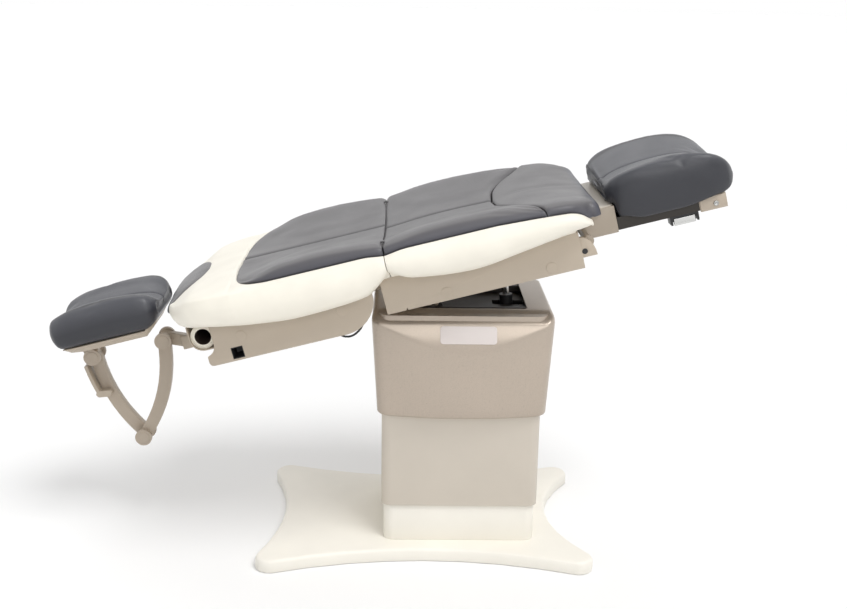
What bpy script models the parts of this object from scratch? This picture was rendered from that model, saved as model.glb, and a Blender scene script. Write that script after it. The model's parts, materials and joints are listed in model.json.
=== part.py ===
"""Power procedure table: base, telescoping column, tilting seat, hinged back and foot, jointed headrest.

World frame: metres, +Z up, floor at z = 0, origin below the column axis, +X towards the foot end,
+Y away from the viewer. The table top is modelled in its own frame (u, y, w): u runs along the table
towards the foot, w is square to the deck, and w = 0 is the lower edge of the seat's side panels.
"""

import math

import bmesh
import bpy
from mathutils import Matrix, Vector

# Clearances
GAP = 0.0003
SLIDE_GAP = 0.0005
PIN_GAP = 0.0004

# Base
BASE_LEFT = -0.610
BASE_RIGHT = 0.400
BASE_HALF_WIDTH = 0.352
WAIST_LEFT = -0.550
WAIST_RIGHT = 0.290
WAIST_HALF_WIDTH = 0.270
BASE_HEIGHT = 0.042
BASE_EDGE_ROUND = 0.014
BASE_WALL = 0.005
BASE_TOE_RADIUS = 0.045
BASE_PLATE_THICK = 0.012
BASE_COVER_LIFT = 0.002

# Column: three steel stages and three shrouds, drawn at full height
LIFT_TRAVEL = 0.400
COLUMN_HALF = 0.105
COLUMN_WALL = 0.005
COLUMN_STAGE_HEIGHT = 0.316
SHROUD_HALF_X = 0.230
SHROUD_HALF_Y = 0.212
SHROUD_WALL = 0.004
SHROUD_STEP = 0.003
SHROUD_CORNER = 0.030
LOWER_SHROUD_TOP = 0.172
MIDDLE_SHROUD_BOTTOM = 0.160
UPPER_SHROUD_BOTTOM = 0.4562
UPPER_SHROUD_TOP = 0.767
UPPER_FLARE = 0.018
UPPER_BULGE = 0.030
FACET_BOTTOM = 0.636
FACET_TOP = 0.757
UPPER_WALL = 0.0045
UPPER_OPENING_HALF_X = 0.190
UPPER_OPENING_HALF_Y = 0.160
PLATE_LENGTH = 0.165
PLATE_SHARE = 0.545
PLATE_THICK = 0.002

# Lift actuator inside the column
LIFT_BODY_RADIUS = 0.035
LIFT_STAGE_RADIUS = 0.0285
LIFT_ROD_RADIUS = 0.022
LIFT_FLOOR = 0.018

# Table frame
TILT = math.radians(14.5)
TABLE_HEIGHT = 0.843
TILT_PIVOT_X = -0.090
TILT_PIVOT_Z = 0.775
TILT_PIN_RADIUS = 0.012
HEAD_PLATE_THICK = 0.012
HEAD_PLATE_START = -0.120
HEAD_PLATE_OUT = 0.045
HEAD_PLATE_HALF_WIDTH = 0.140
HEAD_CHEEK_Y = 0.088
HEAD_CHEEK_THICK = 0.010
HEAD_CHEEK_FOOT = 0.045
HEAD_CHEEK_RADIUS = 0.024
CARRIER_INNER = 0.118
CARRIER_THICK = 0.020
CARRIER_INSET = 0.002
HANGER_RADIUS = 0.020
HANGER_FRONT = 0.025
HANGER_BACK = 0.035

# Seat and back frames
FRAME_HALF_WIDTH = 0.300
SHEET = 0.006
DECK_TOP = 0.104
DECK_THICK = 0.008
SEAT_HEAD_END = -0.226
SEAT_FOOT_END = 0.342
BACK_FOOT_END = -0.253
BACK_HEAD_END = -0.726
BACK_DECK_END = -0.800
BACK_PANEL_BOTTOM = -0.029
FLANGE_DEPTH = 0.024
PANEL_RIM = 0.0005

# Back hinge, close under the seam between the two cushions
BACK_HINGE_U = -0.190
BACK_HINGE_W = 0.200
BACK_PIN_RADIUS = 0.005
BACK_EYE_RADIUS = 0.010
HINGE_ARM_THICK = 0.007

# Cushions
BOLSTER_HALF_WIDTH = 0.392
PAD_MARGIN = 0.026
PAD_HALF_WIDTH = BOLSTER_HALF_WIDTH - PAD_MARGIN
PAD_BASE = 0.166
PAD_SEAM = 0.192
PAD_ROLL = 0.225
PAD_CREASE = 0.189
CREASE_FOLLOW = 0.65
CUSHION_END_GAP = 0.0065
CUSHION_ROUND = 0.028
CUSHION_ROUND_DEPTH = 0.0255
SEAT_PAD_END = SEAT_FOOT_END + 0.073
SEAT_BOLSTER_END = SEAT_FOOT_END + 0.043
BACK_PAD_END = -0.632
BACK_BOLSTER_END = -0.858
SEAM_GAP = 0.0015
SIDE_LEAST = 0.020
CROWN_START = BACK_BOLSTER_END + 0.103
CROWN_RUN = 0.060

# Paper roll and tray
ROLL_U = -0.754
ROLL_W = 0.057
ROLL_RADIUS = 0.036
ROLL_CORE_RADIUS = 0.023
ROLL_HALF_LENGTH = 0.280
TRAY_THICK = 0.003

# Accessory socket
SOCKET_U = -0.666
SOCKET_W = -0.006
SOCKET_SIDE = 0.030
SOCKET_WALL = 0.002
SOCKET_DEPTH = 0.060

# Lead under the back: clip, bow and clip in the table's frame
CABLE_RADIUS = 0.003
CABLE_INSET = 0.030
CABLE_KNOTS = ((-0.400, 0.030), (-0.375, -0.036), (-0.338, -0.045), (-0.300, -0.010))
CABLE_CLIP_U = (-0.400, -0.290)

# Headrest
BAR_DEPTH = 0.043
BAR_WIDTH = 0.020
BAR_TOP = 0.003
BAR_INNER_END = -0.500
SLEEVE_WALL = 0.005
SLEEVE_HEAD_END = -0.700
SLEEVE_FOOT_END = -0.450
SHOULDER = (-0.939, 0.008)
ELBOW = (-1.091, -0.280)
HEAD_PIVOT = (-1.165, 0.010)
LINK_THICK = 0.026
LINK_WIDTH = 0.038
LINK_BOW = 0.030
LOWER_LINK_BOW = 0.024
HEAD_PIN_RADIUS = 0.008
DRUM_RADIUS = 0.026
DRUM_THICK = 0.012
RELEASE_PIN_RADIUS = 0.004
RELEASE_EAR_RADIUS = 0.010
RELEASE_GRIP_DEPTH = 0.010
RELEASE_START = 7
RELEASE_STAND_OFF = 0.0015
RELEASE_SPREAD = 0.0014
HEADREST_HALF_WIDTH = 0.148
HEADREST_FOOT_END = -0.898
HEADREST_HEAD_END = -1.246
HEADREST_SHELL_THICK = 0.020
HEADREST_SHELL_TOP = 0.076
HEADREST_SHELL_INSET = 0.016
HEADREST_DISH = 0.026
# Distance from the nearer end, height
HEADREST_BOTTOM_HEAD = ((0.0, 0.118), (0.012, 0.096))
HEADREST_BOTTOM_RISE = 0.035
HEADREST_BOTTOM_SLOPE = 0.058
HEADREST_BOTTOM_END = 0.122
HEADREST_TOP_HEAD = ((0.0, 0.136), (0.007, 0.156), (0.025, 0.170), (0.095, 0.187), (0.200, 0.193))
HEADREST_TOP_FOOT = ((0.062, 0.189), (0.034, 0.175), (0.014, 0.154), (0.0, 0.138))
HEADREST_WIDTH_HEAD = ((0.0, 0.085), (0.010, 0.114), (0.035, 0.140), (0.090, 0.148))
HEADREST_WIDTH_FOOT = ((0.090, 0.148), (0.030, 0.140), (0.008, 0.118), (0.0, 0.092))

# Foot section, measured from the seat's foot end
FOOT_HINGE_U = SEAT_FOOT_END + 0.009
FOOT_HINGE_W = 0.045
FOOT_PIN_RADIUS = 0.008
FOOT_EYE_RADIUS = 0.016
BRACKET_THICK = 0.018
BRACKET_OVERHANG = 0.033
BRACKET_REACH = FOOT_HINGE_U + BRACKET_OVERHANG
BRACKET_BOTTOM = 0.028
BRACKET_TOP = 0.086
FOOT_BOX_HALF_WIDTH = 0.200
FOOT_BOX_START = FOOT_HINGE_U + 0.011
FOOT_BOX_LENGTH = 0.104
FOOT_BOX_END = FOOT_BOX_START + FOOT_BOX_LENGTH
FOOT_BOX_BOTTOM = 0.052
FOOT_BOX_TOP = 0.130
FOOT_BOX_WALL = 0.004
FOOT_BEAM = 0.012
FOOT_TRAY_TOP = 0.094
FOOT_TRAY_END = FOOT_BOX_END + 0.316
FOOT_TRAY_FLOOR = 0.004
FOOT_TRAY_WALL = 0.010
FOOT_CHEEK_LENGTH = 0.077
FOOT_CHEEK_OUT = 0.006
FOOT_CUSHION_START = FOOT_BOX_END - 0.016
FOOT_CUSHION_LENGTH = 0.370
FOOT_CUSHION_END = FOOT_CUSHION_START + FOOT_CUSHION_LENGTH
FOOT_CUSHION_HALF_WIDTH = 0.225
FOOT_CUSHION_SKIRT = 0.079
FOOT_VALLEY = 0.045
# Distance from the nearer end, height or half width
FOOT_BOTTOM_END = ((0.050, 0.0943), (0.014, 0.106), (0.0, 0.128))
FOOT_TOP_START = ((0.0, 0.186), (0.008, 0.212), (0.030, 0.232), (0.105, 0.244), (0.177, 0.247))
FOOT_TOP_END = ((0.110, 0.237), (0.059, 0.209), (0.025, 0.180), (0.006, 0.159), (0.0, 0.148))
FOOT_WIDTH_START = ((0.0, 0.165), (0.010, 0.192), (0.040, 0.215), (0.100, 0.225))
FOOT_WIDTH_END = ((0.080, 0.222), (0.025, 0.205), (0.006, 0.182), (0.0, 0.165))
LATCH_START = FOOT_BOX_END + 0.151
LATCH_LENGTH = 0.082
LATCH_END = LATCH_START + LATCH_LENGTH
LATCH_DROP = 0.026
LATCH_WALL = 0.006
LATCH_WIDTH = 0.046
LATCH_PADDLE = 0.034
LATCH_BARREL_RADIUS = 0.005

# Actuators of the table top: pivot and tip in their own frames
TILT_BASE = (0.160, 0.500)
TILT_TIP = (0.140, 0.030)
BACK_BASE = (0.275, 0.045)
BACK_TIP = (-0.130, 0.030)
FOOT_BASE = (0.050, 0.040)
FOOT_TIP = (0.331, -0.015)
BACK_ACTUATOR_Y = -0.065
FOOT_ACTUATOR_Y = 0.065
TUBE_RADIUS = 0.020
ROD_RADIUS = 0.010
TRUNNION_RADIUS = 0.008
CLEVIS_HALF = 0.0245
CLEVIS_THICK = 0.006
LUG_HALF_THICK = 0.004
LUG_RADIUS = 0.013
FORK_REACH = 0.060
FORK_CHEEK = 0.006
FORK_WEB = 0.016
GEARBOX_BACK = 0.016
GEARBOX_FRONT = 0.046
GEARBOX_HALF = 0.017
MOTOR_OFFSET = 0.036
MOTOR_RADIUS = 0.015
MOTOR_START = 0.010
MOTOR_END = 0.110
BORE_START = 0.050
TUBE_LENGTH = {"tilt": 0.270, "back": 0.320, "foot": 0.165}
RETRACT = {"tilt": 0.060, "back": 0.0, "foot": 0.047}

COLOURS = {
    "off_white": ((0.86, 0.83, 0.75), 0.40, 0.0),
    "beige": ((0.50, 0.44, 0.37), 0.45, 0.0),
    "taupe_metal": ((0.53, 0.46, 0.38), 0.35, 0.4),
    "white_vinyl": ((0.93, 0.89, 0.80), 0.50, 0.0),
    "grey_vinyl": ((0.17, 0.17, 0.18), 0.48, 0.0),
    "steel": ((0.55, 0.55, 0.56), 0.35, 1.0),
    "chrome": ((0.80, 0.80, 0.82), 0.12, 1.0),
    "black": ((0.03, 0.03, 0.03), 0.50, 0.0),
    "paper": ((0.93, 0.93, 0.92), 0.80, 0.0),
}


def material(name):
    """Principled material of one colour entry, made once."""
    found = bpy.data.materials.get(name)
    if found:
        return found
    colour, roughness, metallic = COLOURS[name]
    made = bpy.data.materials.new(name)
    made.use_nodes = True
    shader = made.node_tree.nodes["Principled BSDF"]
    shader.inputs["Base Color"].default_value = (*colour, 1.0)
    shader.inputs["Roughness"].default_value = roughness
    shader.inputs["Metallic"].default_value = metallic
    return made


def axis_empty(name, place, parent=None, angle=0.0):
    """Empty on a joint's axis; place is in the parent's frame, angle turns it about Y."""
    empty = bpy.data.objects.new(name, None)
    bpy.context.scene.collection.objects.link(empty)
    empty.parent = parent
    empty.location = place
    empty.rotation_euler = (0.0, angle, 0.0)
    return empty


def add_part(name, mesh, colour, parent=None, shift=(0.0, 0.0, 0.0)):
    """Named object from a finished mesh, moved by shift inside its parent's frame."""
    mesh.name = name
    mesh.materials.clear()
    mesh.materials.append(material(colour))
    mesh.shade_smooth()
    mesh.set_sharp_from_angle(angle=math.radians(35.0))
    part = bpy.data.objects.new(name, mesh)
    bpy.context.scene.collection.objects.link(part)
    part.parent = parent
    part.location = shift
    return part


# Mesh builders

def to_mesh(bm):
    bmesh.ops.recalc_face_normals(bm, faces=bm.faces[:])
    if bm.calc_volume(signed=True) < 0.0:
        bmesh.ops.reverse_faces(bm, faces=bm.faces[:])
    mesh = bpy.data.meshes.new("solid")
    bm.to_mesh(mesh)
    bm.free()
    return mesh


def loft(rings):
    """Closed solid through rings of equal point count, capped at both ends."""
    bm = bmesh.new()
    loops = [[bm.verts.new(point) for point in ring] for ring in rings]
    count = len(rings[0])
    for first, second in zip(loops, loops[1:]):
        for i in range(count):
            j = (i + 1) % count
            bm.faces.new((first[i], first[j], second[j], second[i]))
    bm.faces.new(loops[0][::-1])
    bm.faces.new(loops[-1])
    return to_mesh(bm)


def block(x0, x1, y0, y1, z0, z1):
    ring = [(x0, y0), (x1, y0), (x1, y1), (x0, y1)]
    return loft([[(x, y, z) for x, y in ring] for z in (z0, z1)])


def plate(profile, y0, y1):
    """Profile in x and z, drawn out along y."""
    return loft([[(x, y, z) for x, z in profile] for y in (y0, y1)])


def slab(outline, z0, z1):
    """Outline in x and y, drawn out along z."""
    return loft([[(x, y, z) for x, y in outline] for z in (z0, z1)])


def arc(x, z, radius, start, end, steps):
    """Points on an arc, angles in degrees, both ends included."""
    angles = [math.radians(start + (end - start) * i / steps) for i in range(steps + 1)]
    return [(x + radius * math.cos(a), z + radius * math.sin(a)) for a in angles]


def disc(x, z, radius, sides=20):
    return arc(x, z, radius, 0.0, 360.0 - 360.0 / sides, sides - 1)


def rod_y(x, z, radius, y0, y1, sides=16):
    return plate(disc(x, z, radius, sides), y0, y1)


def rod_z(x, y, radius, z0, z1, sides=24):
    return slab(disc(x, y, radius, sides), z0, z1)


def rod_x(y, z, radius, x0, x1, sides=16):
    return loft([[(x, a, b) for a, b in disc(y, z, radius, sides)] for x in (x0, x1)])


def rounded_rectangle(half_x, half_y, radius, steps=4):
    corners = ((1, 1, 0), (-1, 1, 90), (-1, -1, 180), (1, -1, 270))
    outline = []
    for sx, sy, start in corners:
        outline += arc(sx * (half_x - radius), sy * (half_y - radius), radius, start, start + 90, steps)
    return outline


def combine(operation, first, others):
    """Boolean of a mesh with further meshes, one after another."""
    collection = bpy.context.scene.collection
    target = bpy.data.objects.new("target", first)
    collection.objects.link(target)
    tools = []
    for mesh in others:
        tool = bpy.data.objects.new("tool", mesh)
        collection.objects.link(tool)
        modifier = target.modifiers.new("boolean", "BOOLEAN")
        modifier.operation = operation
        modifier.solver = "EXACT"
        modifier.object = tool
        tools.append(tool)
    evaluated = target.evaluated_get(bpy.context.evaluated_depsgraph_get())
    result = bpy.data.meshes.new_from_object(evaluated)
    for thing in [target, *tools]:
        bpy.data.objects.remove(thing, do_unlink=True)
    return result


def fuse(first, *others):
    return combine("UNION", first, others)


def cut(first, *others):
    return combine("DIFFERENCE", first, others)


def common(first, *others):
    return combine("INTERSECT", first, others)


def both_sides(make):
    """Two meshes from a maker that takes the side, +1 or -1."""
    return [make(side) for side in (1, -1)]


def side_block(x0, x1, inner, outer, z0, z1, side):
    low, high = sorted((side * inner, side * outer))
    return block(x0, x1, low, high, z0, z1)


def side_plate(profile, inner, outer, side):
    low, high = sorted((side * inner, side * outer))
    return plate(profile, low, high)


# Base and column

def base_outline(inset):
    """Plan of the four-footed base, drawn in by inset."""
    toe = BASE_TOE_RADIUS - inset
    left = BASE_LEFT + BASE_TOE_RADIUS
    right = BASE_RIGHT - BASE_TOE_RADIUS
    side = BASE_HALF_WIDTH - BASE_TOE_RADIUS
    middle = 0.5 * (BASE_LEFT + BASE_RIGHT)
    toes = [
        arc(right, side, toe, -20, 100, 5),
        arc(left, side, toe, 80, 200, 5),
        arc(left, -side, toe, 160, 280, 5),
        arc(right, -side, toe, 260, 380, 5),
    ]
    waists = [
        (middle, WAIST_HALF_WIDTH - inset),
        (WAIST_LEFT + inset, 0.0),
        (middle, -WAIST_HALF_WIDTH + inset),
        (WAIST_RIGHT - inset, 0.0),
    ]
    outline = []
    steps = 8
    for k in range(4):
        outline += toes[k]
        start = Vector(toes[k][-1])
        end = Vector(toes[(k + 1) % 4][0])
        pull = 2.0 * Vector(waists[k]) - 0.5 * (start + end)
        for i in range(1, steps):
            t = i / steps
            outline.append(tuple(start * (1 - t) ** 2 + pull * (2 * t * (1 - t)) + end * t ** 2))
    return outline


def base_parts(root):
    plate_mesh = slab(base_outline(BASE_WALL + SLIDE_GAP), 0.0, BASE_PLATE_THICK)
    add_part("base_plate", plate_mesh, "steel", root)

    levels = [(0.0, BASE_COVER_LIFT), (0.0, BASE_HEIGHT - BASE_EDGE_ROUND)]
    for degrees in (35, 65, 90):
        a = math.radians(degrees)
        drawn_in = BASE_EDGE_ROUND * (1.0 - math.cos(a))
        levels.append((drawn_in, BASE_HEIGHT - BASE_EDGE_ROUND * (1.0 - math.sin(a))))
    skin = loft([[(x, y, z) for x, y in base_outline(inset)] for inset, z in levels])
    pocket = slab(base_outline(BASE_WALL), -BASE_HEIGHT, BASE_HEIGHT - BASE_EDGE_ROUND)
    ceiling = slab(base_outline(BASE_EDGE_ROUND), 0.0, BASE_HEIGHT - BASE_WALL)
    well_x = SHROUD_HALF_X - SHROUD_CORNER
    well_y = SHROUD_HALF_Y - SHROUD_CORNER
    well = block(-well_x, well_x, -well_y, well_y, 0.0, 2.0 * BASE_HEIGHT)
    add_part("base_cover", cut(skin, pocket, ceiling, well), "off_white", root)

    box_end = -COLUMN_HALF - 0.020
    box_start = -SHROUD_HALF_X + SHROUD_WALL + 0.010
    box_top = LOWER_SHROUD_TOP - 0.012
    control = block(max(box_start, -well_x + GAP), box_end, -0.110, 0.110, BASE_PLATE_THICK + GAP, box_top)
    add_part("control_box", control, "black", root)


def square_tube(half, wall, z0, z1):
    outer = block(-half, half, -half, half, z0, z1)
    inner = half - wall
    bore = block(-inner, inner, -inner, inner, z0 - wall, z1 + wall)
    return cut(outer, bore)


def column_levels():
    """Bottom and top of each of the three column stages at full height."""
    first = BASE_PLATE_THICK + GAP
    rise = 0.5 * LIFT_TRAVEL + SLIDE_GAP
    bottoms = [first + k * rise for k in range(3)]
    return [(bottom, bottom + COLUMN_STAGE_HEIGHT) for bottom in bottoms]


def lift_levels():
    """The same for the lift actuator's body, stage and rod."""
    stages = column_levels()
    top = stages[2][1]
    stage_low = stages[1][0] + LIFT_FLOOR
    rod_low = stages[2][0] + LIFT_FLOOR + SLIDE_GAP
    return [(stages[0][0], stages[0][1]), (stage_low, stages[1][1]), (rod_low, top)]


def column_parts(root, stage_axis, lift_axis):
    owners = (root, stage_axis, lift_axis)
    names = ("outer_column", "middle_column", "inner_column")
    for k, (low, high) in enumerate(column_levels()):
        half = COLUMN_HALF - k * (COLUMN_WALL + SLIDE_GAP)
        add_part(names[k], square_tube(half, COLUMN_WALL, low, high), "steel", owners[k])

    body, stage, rod = lift_levels()
    shell = rod_z(0, 0, LIFT_BODY_RADIUS, *body)
    bore = rod_z(0, 0, LIFT_STAGE_RADIUS + SLIDE_GAP, body[0] + LIFT_FLOOR - SLIDE_GAP, body[1] + LIFT_FLOOR)
    add_part("lift_actuator_body", cut(shell, bore), "black", root)
    tube = rod_z(0, 0, LIFT_STAGE_RADIUS, *stage)
    passage = rod_z(0, 0, LIFT_ROD_RADIUS + SLIDE_GAP, stage[0] - LIFT_FLOOR, stage[1] + LIFT_FLOOR)
    add_part("lift_actuator_stage", cut(tube, passage), "steel", stage_axis)
    add_part("lift_actuator_rod", rod_z(0, 0, LIFT_ROD_RADIUS, *rod), "chrome", lift_axis)


def shroud_tube(half_x, half_y, wall, z0, z1):
    outer = slab(rounded_rectangle(half_x, half_y, SHROUD_CORNER), z0, z1)
    inner = slab(
        rounded_rectangle(half_x - wall, half_y - wall, SHROUD_CORNER - wall), z0 - wall, z1 + wall)
    return cut(outer, inner)


def lower_shroud(root):
    tube = shroud_tube(SHROUD_HALF_X, SHROUD_HALF_Y, SHROUD_WALL, BASE_HEIGHT + GAP, LOWER_SHROUD_TOP)
    add_part("lower_shroud", tube, "off_white", root)


def middle_half():
    """Half sizes of the middle shroud's outside."""
    grow = SHROUD_STEP + SHROUD_WALL
    return SHROUD_HALF_X + grow, SHROUD_HALF_Y + grow


def flange_reach():
    """Half sizes over the middle shroud's top flange."""
    half_x, half_y = middle_half()
    return half_x + 2.0 * SHROUD_WALL, half_y + 2.0 * SHROUD_WALL - SLIDE_GAP


def middle_shroud(axis):
    half_x, half_y = middle_half()
    flange_low = UPPER_SHROUD_BOTTOM + UPPER_WALL + GAP
    top = flange_low + SHROUD_WALL
    tube = shroud_tube(half_x, half_y, SHROUD_WALL, MIDDLE_SHROUD_BOTTOM, top)
    lip_wall = half_x - SHROUD_HALF_X - SLIDE_GAP
    lip = shroud_tube(half_x, half_y, lip_wall, MIDDLE_SHROUD_BOTTOM, MIDDLE_SHROUD_BOTTOM + SHROUD_WALL)
    flange_x, flange_y = flange_reach()
    flange = shroud_tube(flange_x, flange_y, 3.0 * SHROUD_WALL - SLIDE_GAP, flange_low, top)
    add_part("middle_shroud", fuse(tube, lip, flange), "beige", axis)


def facet_limit(z):
    """How far the front reaches at height z, cut back by the sloping facet."""
    full = upper_half_y() + UPPER_BULGE
    edge = upper_half_y() + UPPER_WALL
    share = min(max((z - FACET_BOTTOM) / (FACET_TOP - FACET_BOTTOM), 0.0), 1.0)
    return full + (edge - full) * share


def upper_half_x():
    return flange_reach()[0] + SLIDE_GAP + UPPER_WALL


def upper_half_y():
    return flange_reach()[1] + SLIDE_GAP + UPPER_WALL


def upper_ring(z, flare, drawn_in):
    """Plan of the upper shroud: bowed front and back, rounded corners, facet above FACET_BOTTOM."""
    half_x = upper_half_x() + flare - drawn_in
    half_y = upper_half_y() - drawn_in
    ring = []
    for x, y in dense_rectangle(half_x, half_y, SHROUD_CORNER):
        bow = UPPER_BULGE * max(0.0, 1.0 - (x / half_x) ** 2)
        reach = min(abs(y) + bow * abs(y) / half_y, facet_limit(z) - drawn_in)
        ring.append((x, math.copysign(reach, y), z))
    return ring


def dense_rectangle(half_x, half_y, radius):
    """Rounded rectangle with extra points along the two long sides."""
    steps = 12
    corners = rounded_rectangle(half_x, half_y, radius)
    count = len(corners) // 4
    span = half_x - radius
    back = [(span - 2.0 * span * i / steps, half_y) for i in range(1, steps)]
    front = [(-x, -y) for x, y in back]
    return corners[:count] + back + corners[count:3 * count] + front + corners[3 * count:]


def upper_shroud(axis):
    top = UPPER_SHROUD_TOP
    low = UPPER_SHROUD_BOTTOM
    rise = top - low
    levels = [(low, 0.0, 0.0)]
    for k in range(6):
        z = FACET_BOTTOM + (FACET_TOP - FACET_BOTTOM) * k / 5.0
        levels.append((z, UPPER_FLARE * (z - low) / rise, 0.0))
    levels.append((top - 0.004, UPPER_FLARE, 0.003))
    levels.append((top, UPPER_FLARE, 0.009))
    skin = loft([upper_ring(*level) for level in levels])
    inner_x = upper_half_x() - UPPER_WALL
    inner_y = upper_half_y() - UPPER_WALL
    cavity = slab(
        rounded_rectangle(inner_x, inner_y, SHROUD_CORNER), low + UPPER_WALL, top - UPPER_WALL)
    half_x, half_y = middle_half()
    mouth = slab(
        rounded_rectangle(half_x + SLIDE_GAP, half_y + SLIDE_GAP, SHROUD_CORNER + SLIDE_GAP),
        low - UPPER_WALL, low + 2.0 * UPPER_WALL)
    opening = block(
        -UPPER_OPENING_HALF_X, UPPER_OPENING_HALF_X, -UPPER_OPENING_HALF_Y, UPPER_OPENING_HALF_Y,
        top - 2.0 * UPPER_WALL, top + UPPER_WALL)
    add_part("upper_shroud", cut(skin, cavity, mouth, opening), "taupe_metal", axis)


def label_plate(axis):
    """Bare plate on the front facet."""
    z = 0.5 * (FACET_BOTTOM + FACET_TOP)
    lean = math.atan2(facet_limit(FACET_BOTTOM) - facet_limit(FACET_TOP), FACET_TOP - FACET_BOTTOM)
    height = PLATE_SHARE * (FACET_TOP - FACET_BOTTOM)
    mesh = block(
        -0.5 * PLATE_LENGTH, 0.5 * PLATE_LENGTH, -PLATE_THICK - GAP, -GAP, -0.5 * height, 0.5 * height)
    mesh.transform(Matrix.Rotation(-lean, 4, "X"))
    add_part("label_plate", mesh, "taupe_metal", axis, (0.012, -facet_limit(z), z))


def column_head(axis):
    """Plate on the inner column with the tilt pivot's cheeks, shroud carriers and actuator hanger."""
    low = column_levels()[2][1] + GAP
    top = low + HEAD_PLATE_THICK
    hanger_x = TILT_BASE[0] + HEAD_PLATE_OUT
    deck = block(HEAD_PLATE_START, hanger_x, -HEAD_PLATE_HALF_WIDTH, HEAD_PLATE_HALF_WIDTH, low, top)
    pieces = []
    reach = SHROUD_HALF_X - CARRIER_INSET
    carrier_top = UPPER_SHROUD_TOP - UPPER_WALL - GAP
    for side in (1, -1):
        carrier_outer = CARRIER_INNER + CARRIER_THICK
        carrier_low = low + HEAD_PLATE_THICK / 3.0
        pieces.append(side_block(-reach, reach, CARRIER_INNER, carrier_outer, carrier_low, carrier_top, side))
        cheek = [(TILT_PIVOT_X - HEAD_CHEEK_FOOT, low), (TILT_PIVOT_X + HEAD_CHEEK_FOOT, low)]
        cheek += arc(TILT_PIVOT_X, TILT_PIVOT_Z, HEAD_CHEEK_RADIUS, 0, 180, 8)
        pieces.append(side_plate(cheek, HEAD_CHEEK_Y, HEAD_CHEEK_Y + HEAD_CHEEK_THICK, side))
        hanger = [(TILT_BASE[0] + HANGER_FRONT, top), (TILT_BASE[0] - HANGER_BACK, top)]
        hanger += arc(TILT_BASE[0], TILT_BASE[1], HANGER_RADIUS, 180, 360, 8)
        pieces.append(side_plate(hanger, CLEVIS_HALF, CLEVIS_HALF + CLEVIS_THICK, side))
    slot_start = COLUMN_HALF - COLUMN_WALL - CARRIER_INSET
    slot_end = hanger_x - HEAD_PLATE_THICK
    bores = [
        block(slot_start, slot_end, -CLEVIS_HALF, CLEVIS_HALF, low - HEAD_PLATE_THICK, top + HEAD_PLATE_THICK),
        rod_y(TILT_PIVOT_X, TILT_PIVOT_Z, TILT_PIN_RADIUS + PIN_GAP, -0.2, 0.2),
        rod_y(*TILT_BASE, TRUNNION_RADIUS + PIN_GAP, -0.1, 0.1),
    ]
    add_part("column_head", cut(fuse(deck, *pieces), *bores), "steel", axis)
    pin_half = HEAD_CHEEK_Y + 2.0 * HEAD_CHEEK_THICK + 0.004
    pin = rod_y(TILT_PIVOT_X, TILT_PIVOT_Z, TILT_PIN_RADIUS, -pin_half, pin_half)
    add_part("tilt_pivot_pin", pin, "chrome", axis)


def power_inlet(root):
    """Mains socket on the back wall of the lower shroud."""
    z = BASE_HEIGHT + 0.022
    wall = SHROUD_HALF_Y + GAP
    flange = block(-0.032, 0.032, wall, wall + 0.0022, z - 0.016, z + 0.016)
    recess = block(-0.013, 0.013, wall + 0.0008, wall + 0.01, z - 0.010, z + 0.010)
    add_part("power_inlet", cut(flange, recess), "black", root)


# Table frame helpers

def to_table(x, z):
    """World point in the x and z plane, in the table's frame."""
    dz = z - TABLE_HEIGHT
    return (x * math.cos(TILT) + dz * math.sin(TILT), -x * math.sin(TILT) + dz * math.cos(TILT))


def to_world(u, w):
    return (u * math.cos(TILT) - w * math.sin(TILT), TABLE_HEIGHT + u * math.sin(TILT) + w * math.cos(TILT))


def capsule(start, end, radius, steps=8):
    """Outline of a straight link with round ends."""
    heading = math.degrees(math.atan2(end[1] - start[1], end[0] - start[0]))
    outline = arc(*end, radius, heading - 90, heading + 90, steps)
    return outline + arc(*start, radius, heading + 90, heading + 270, steps)


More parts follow.
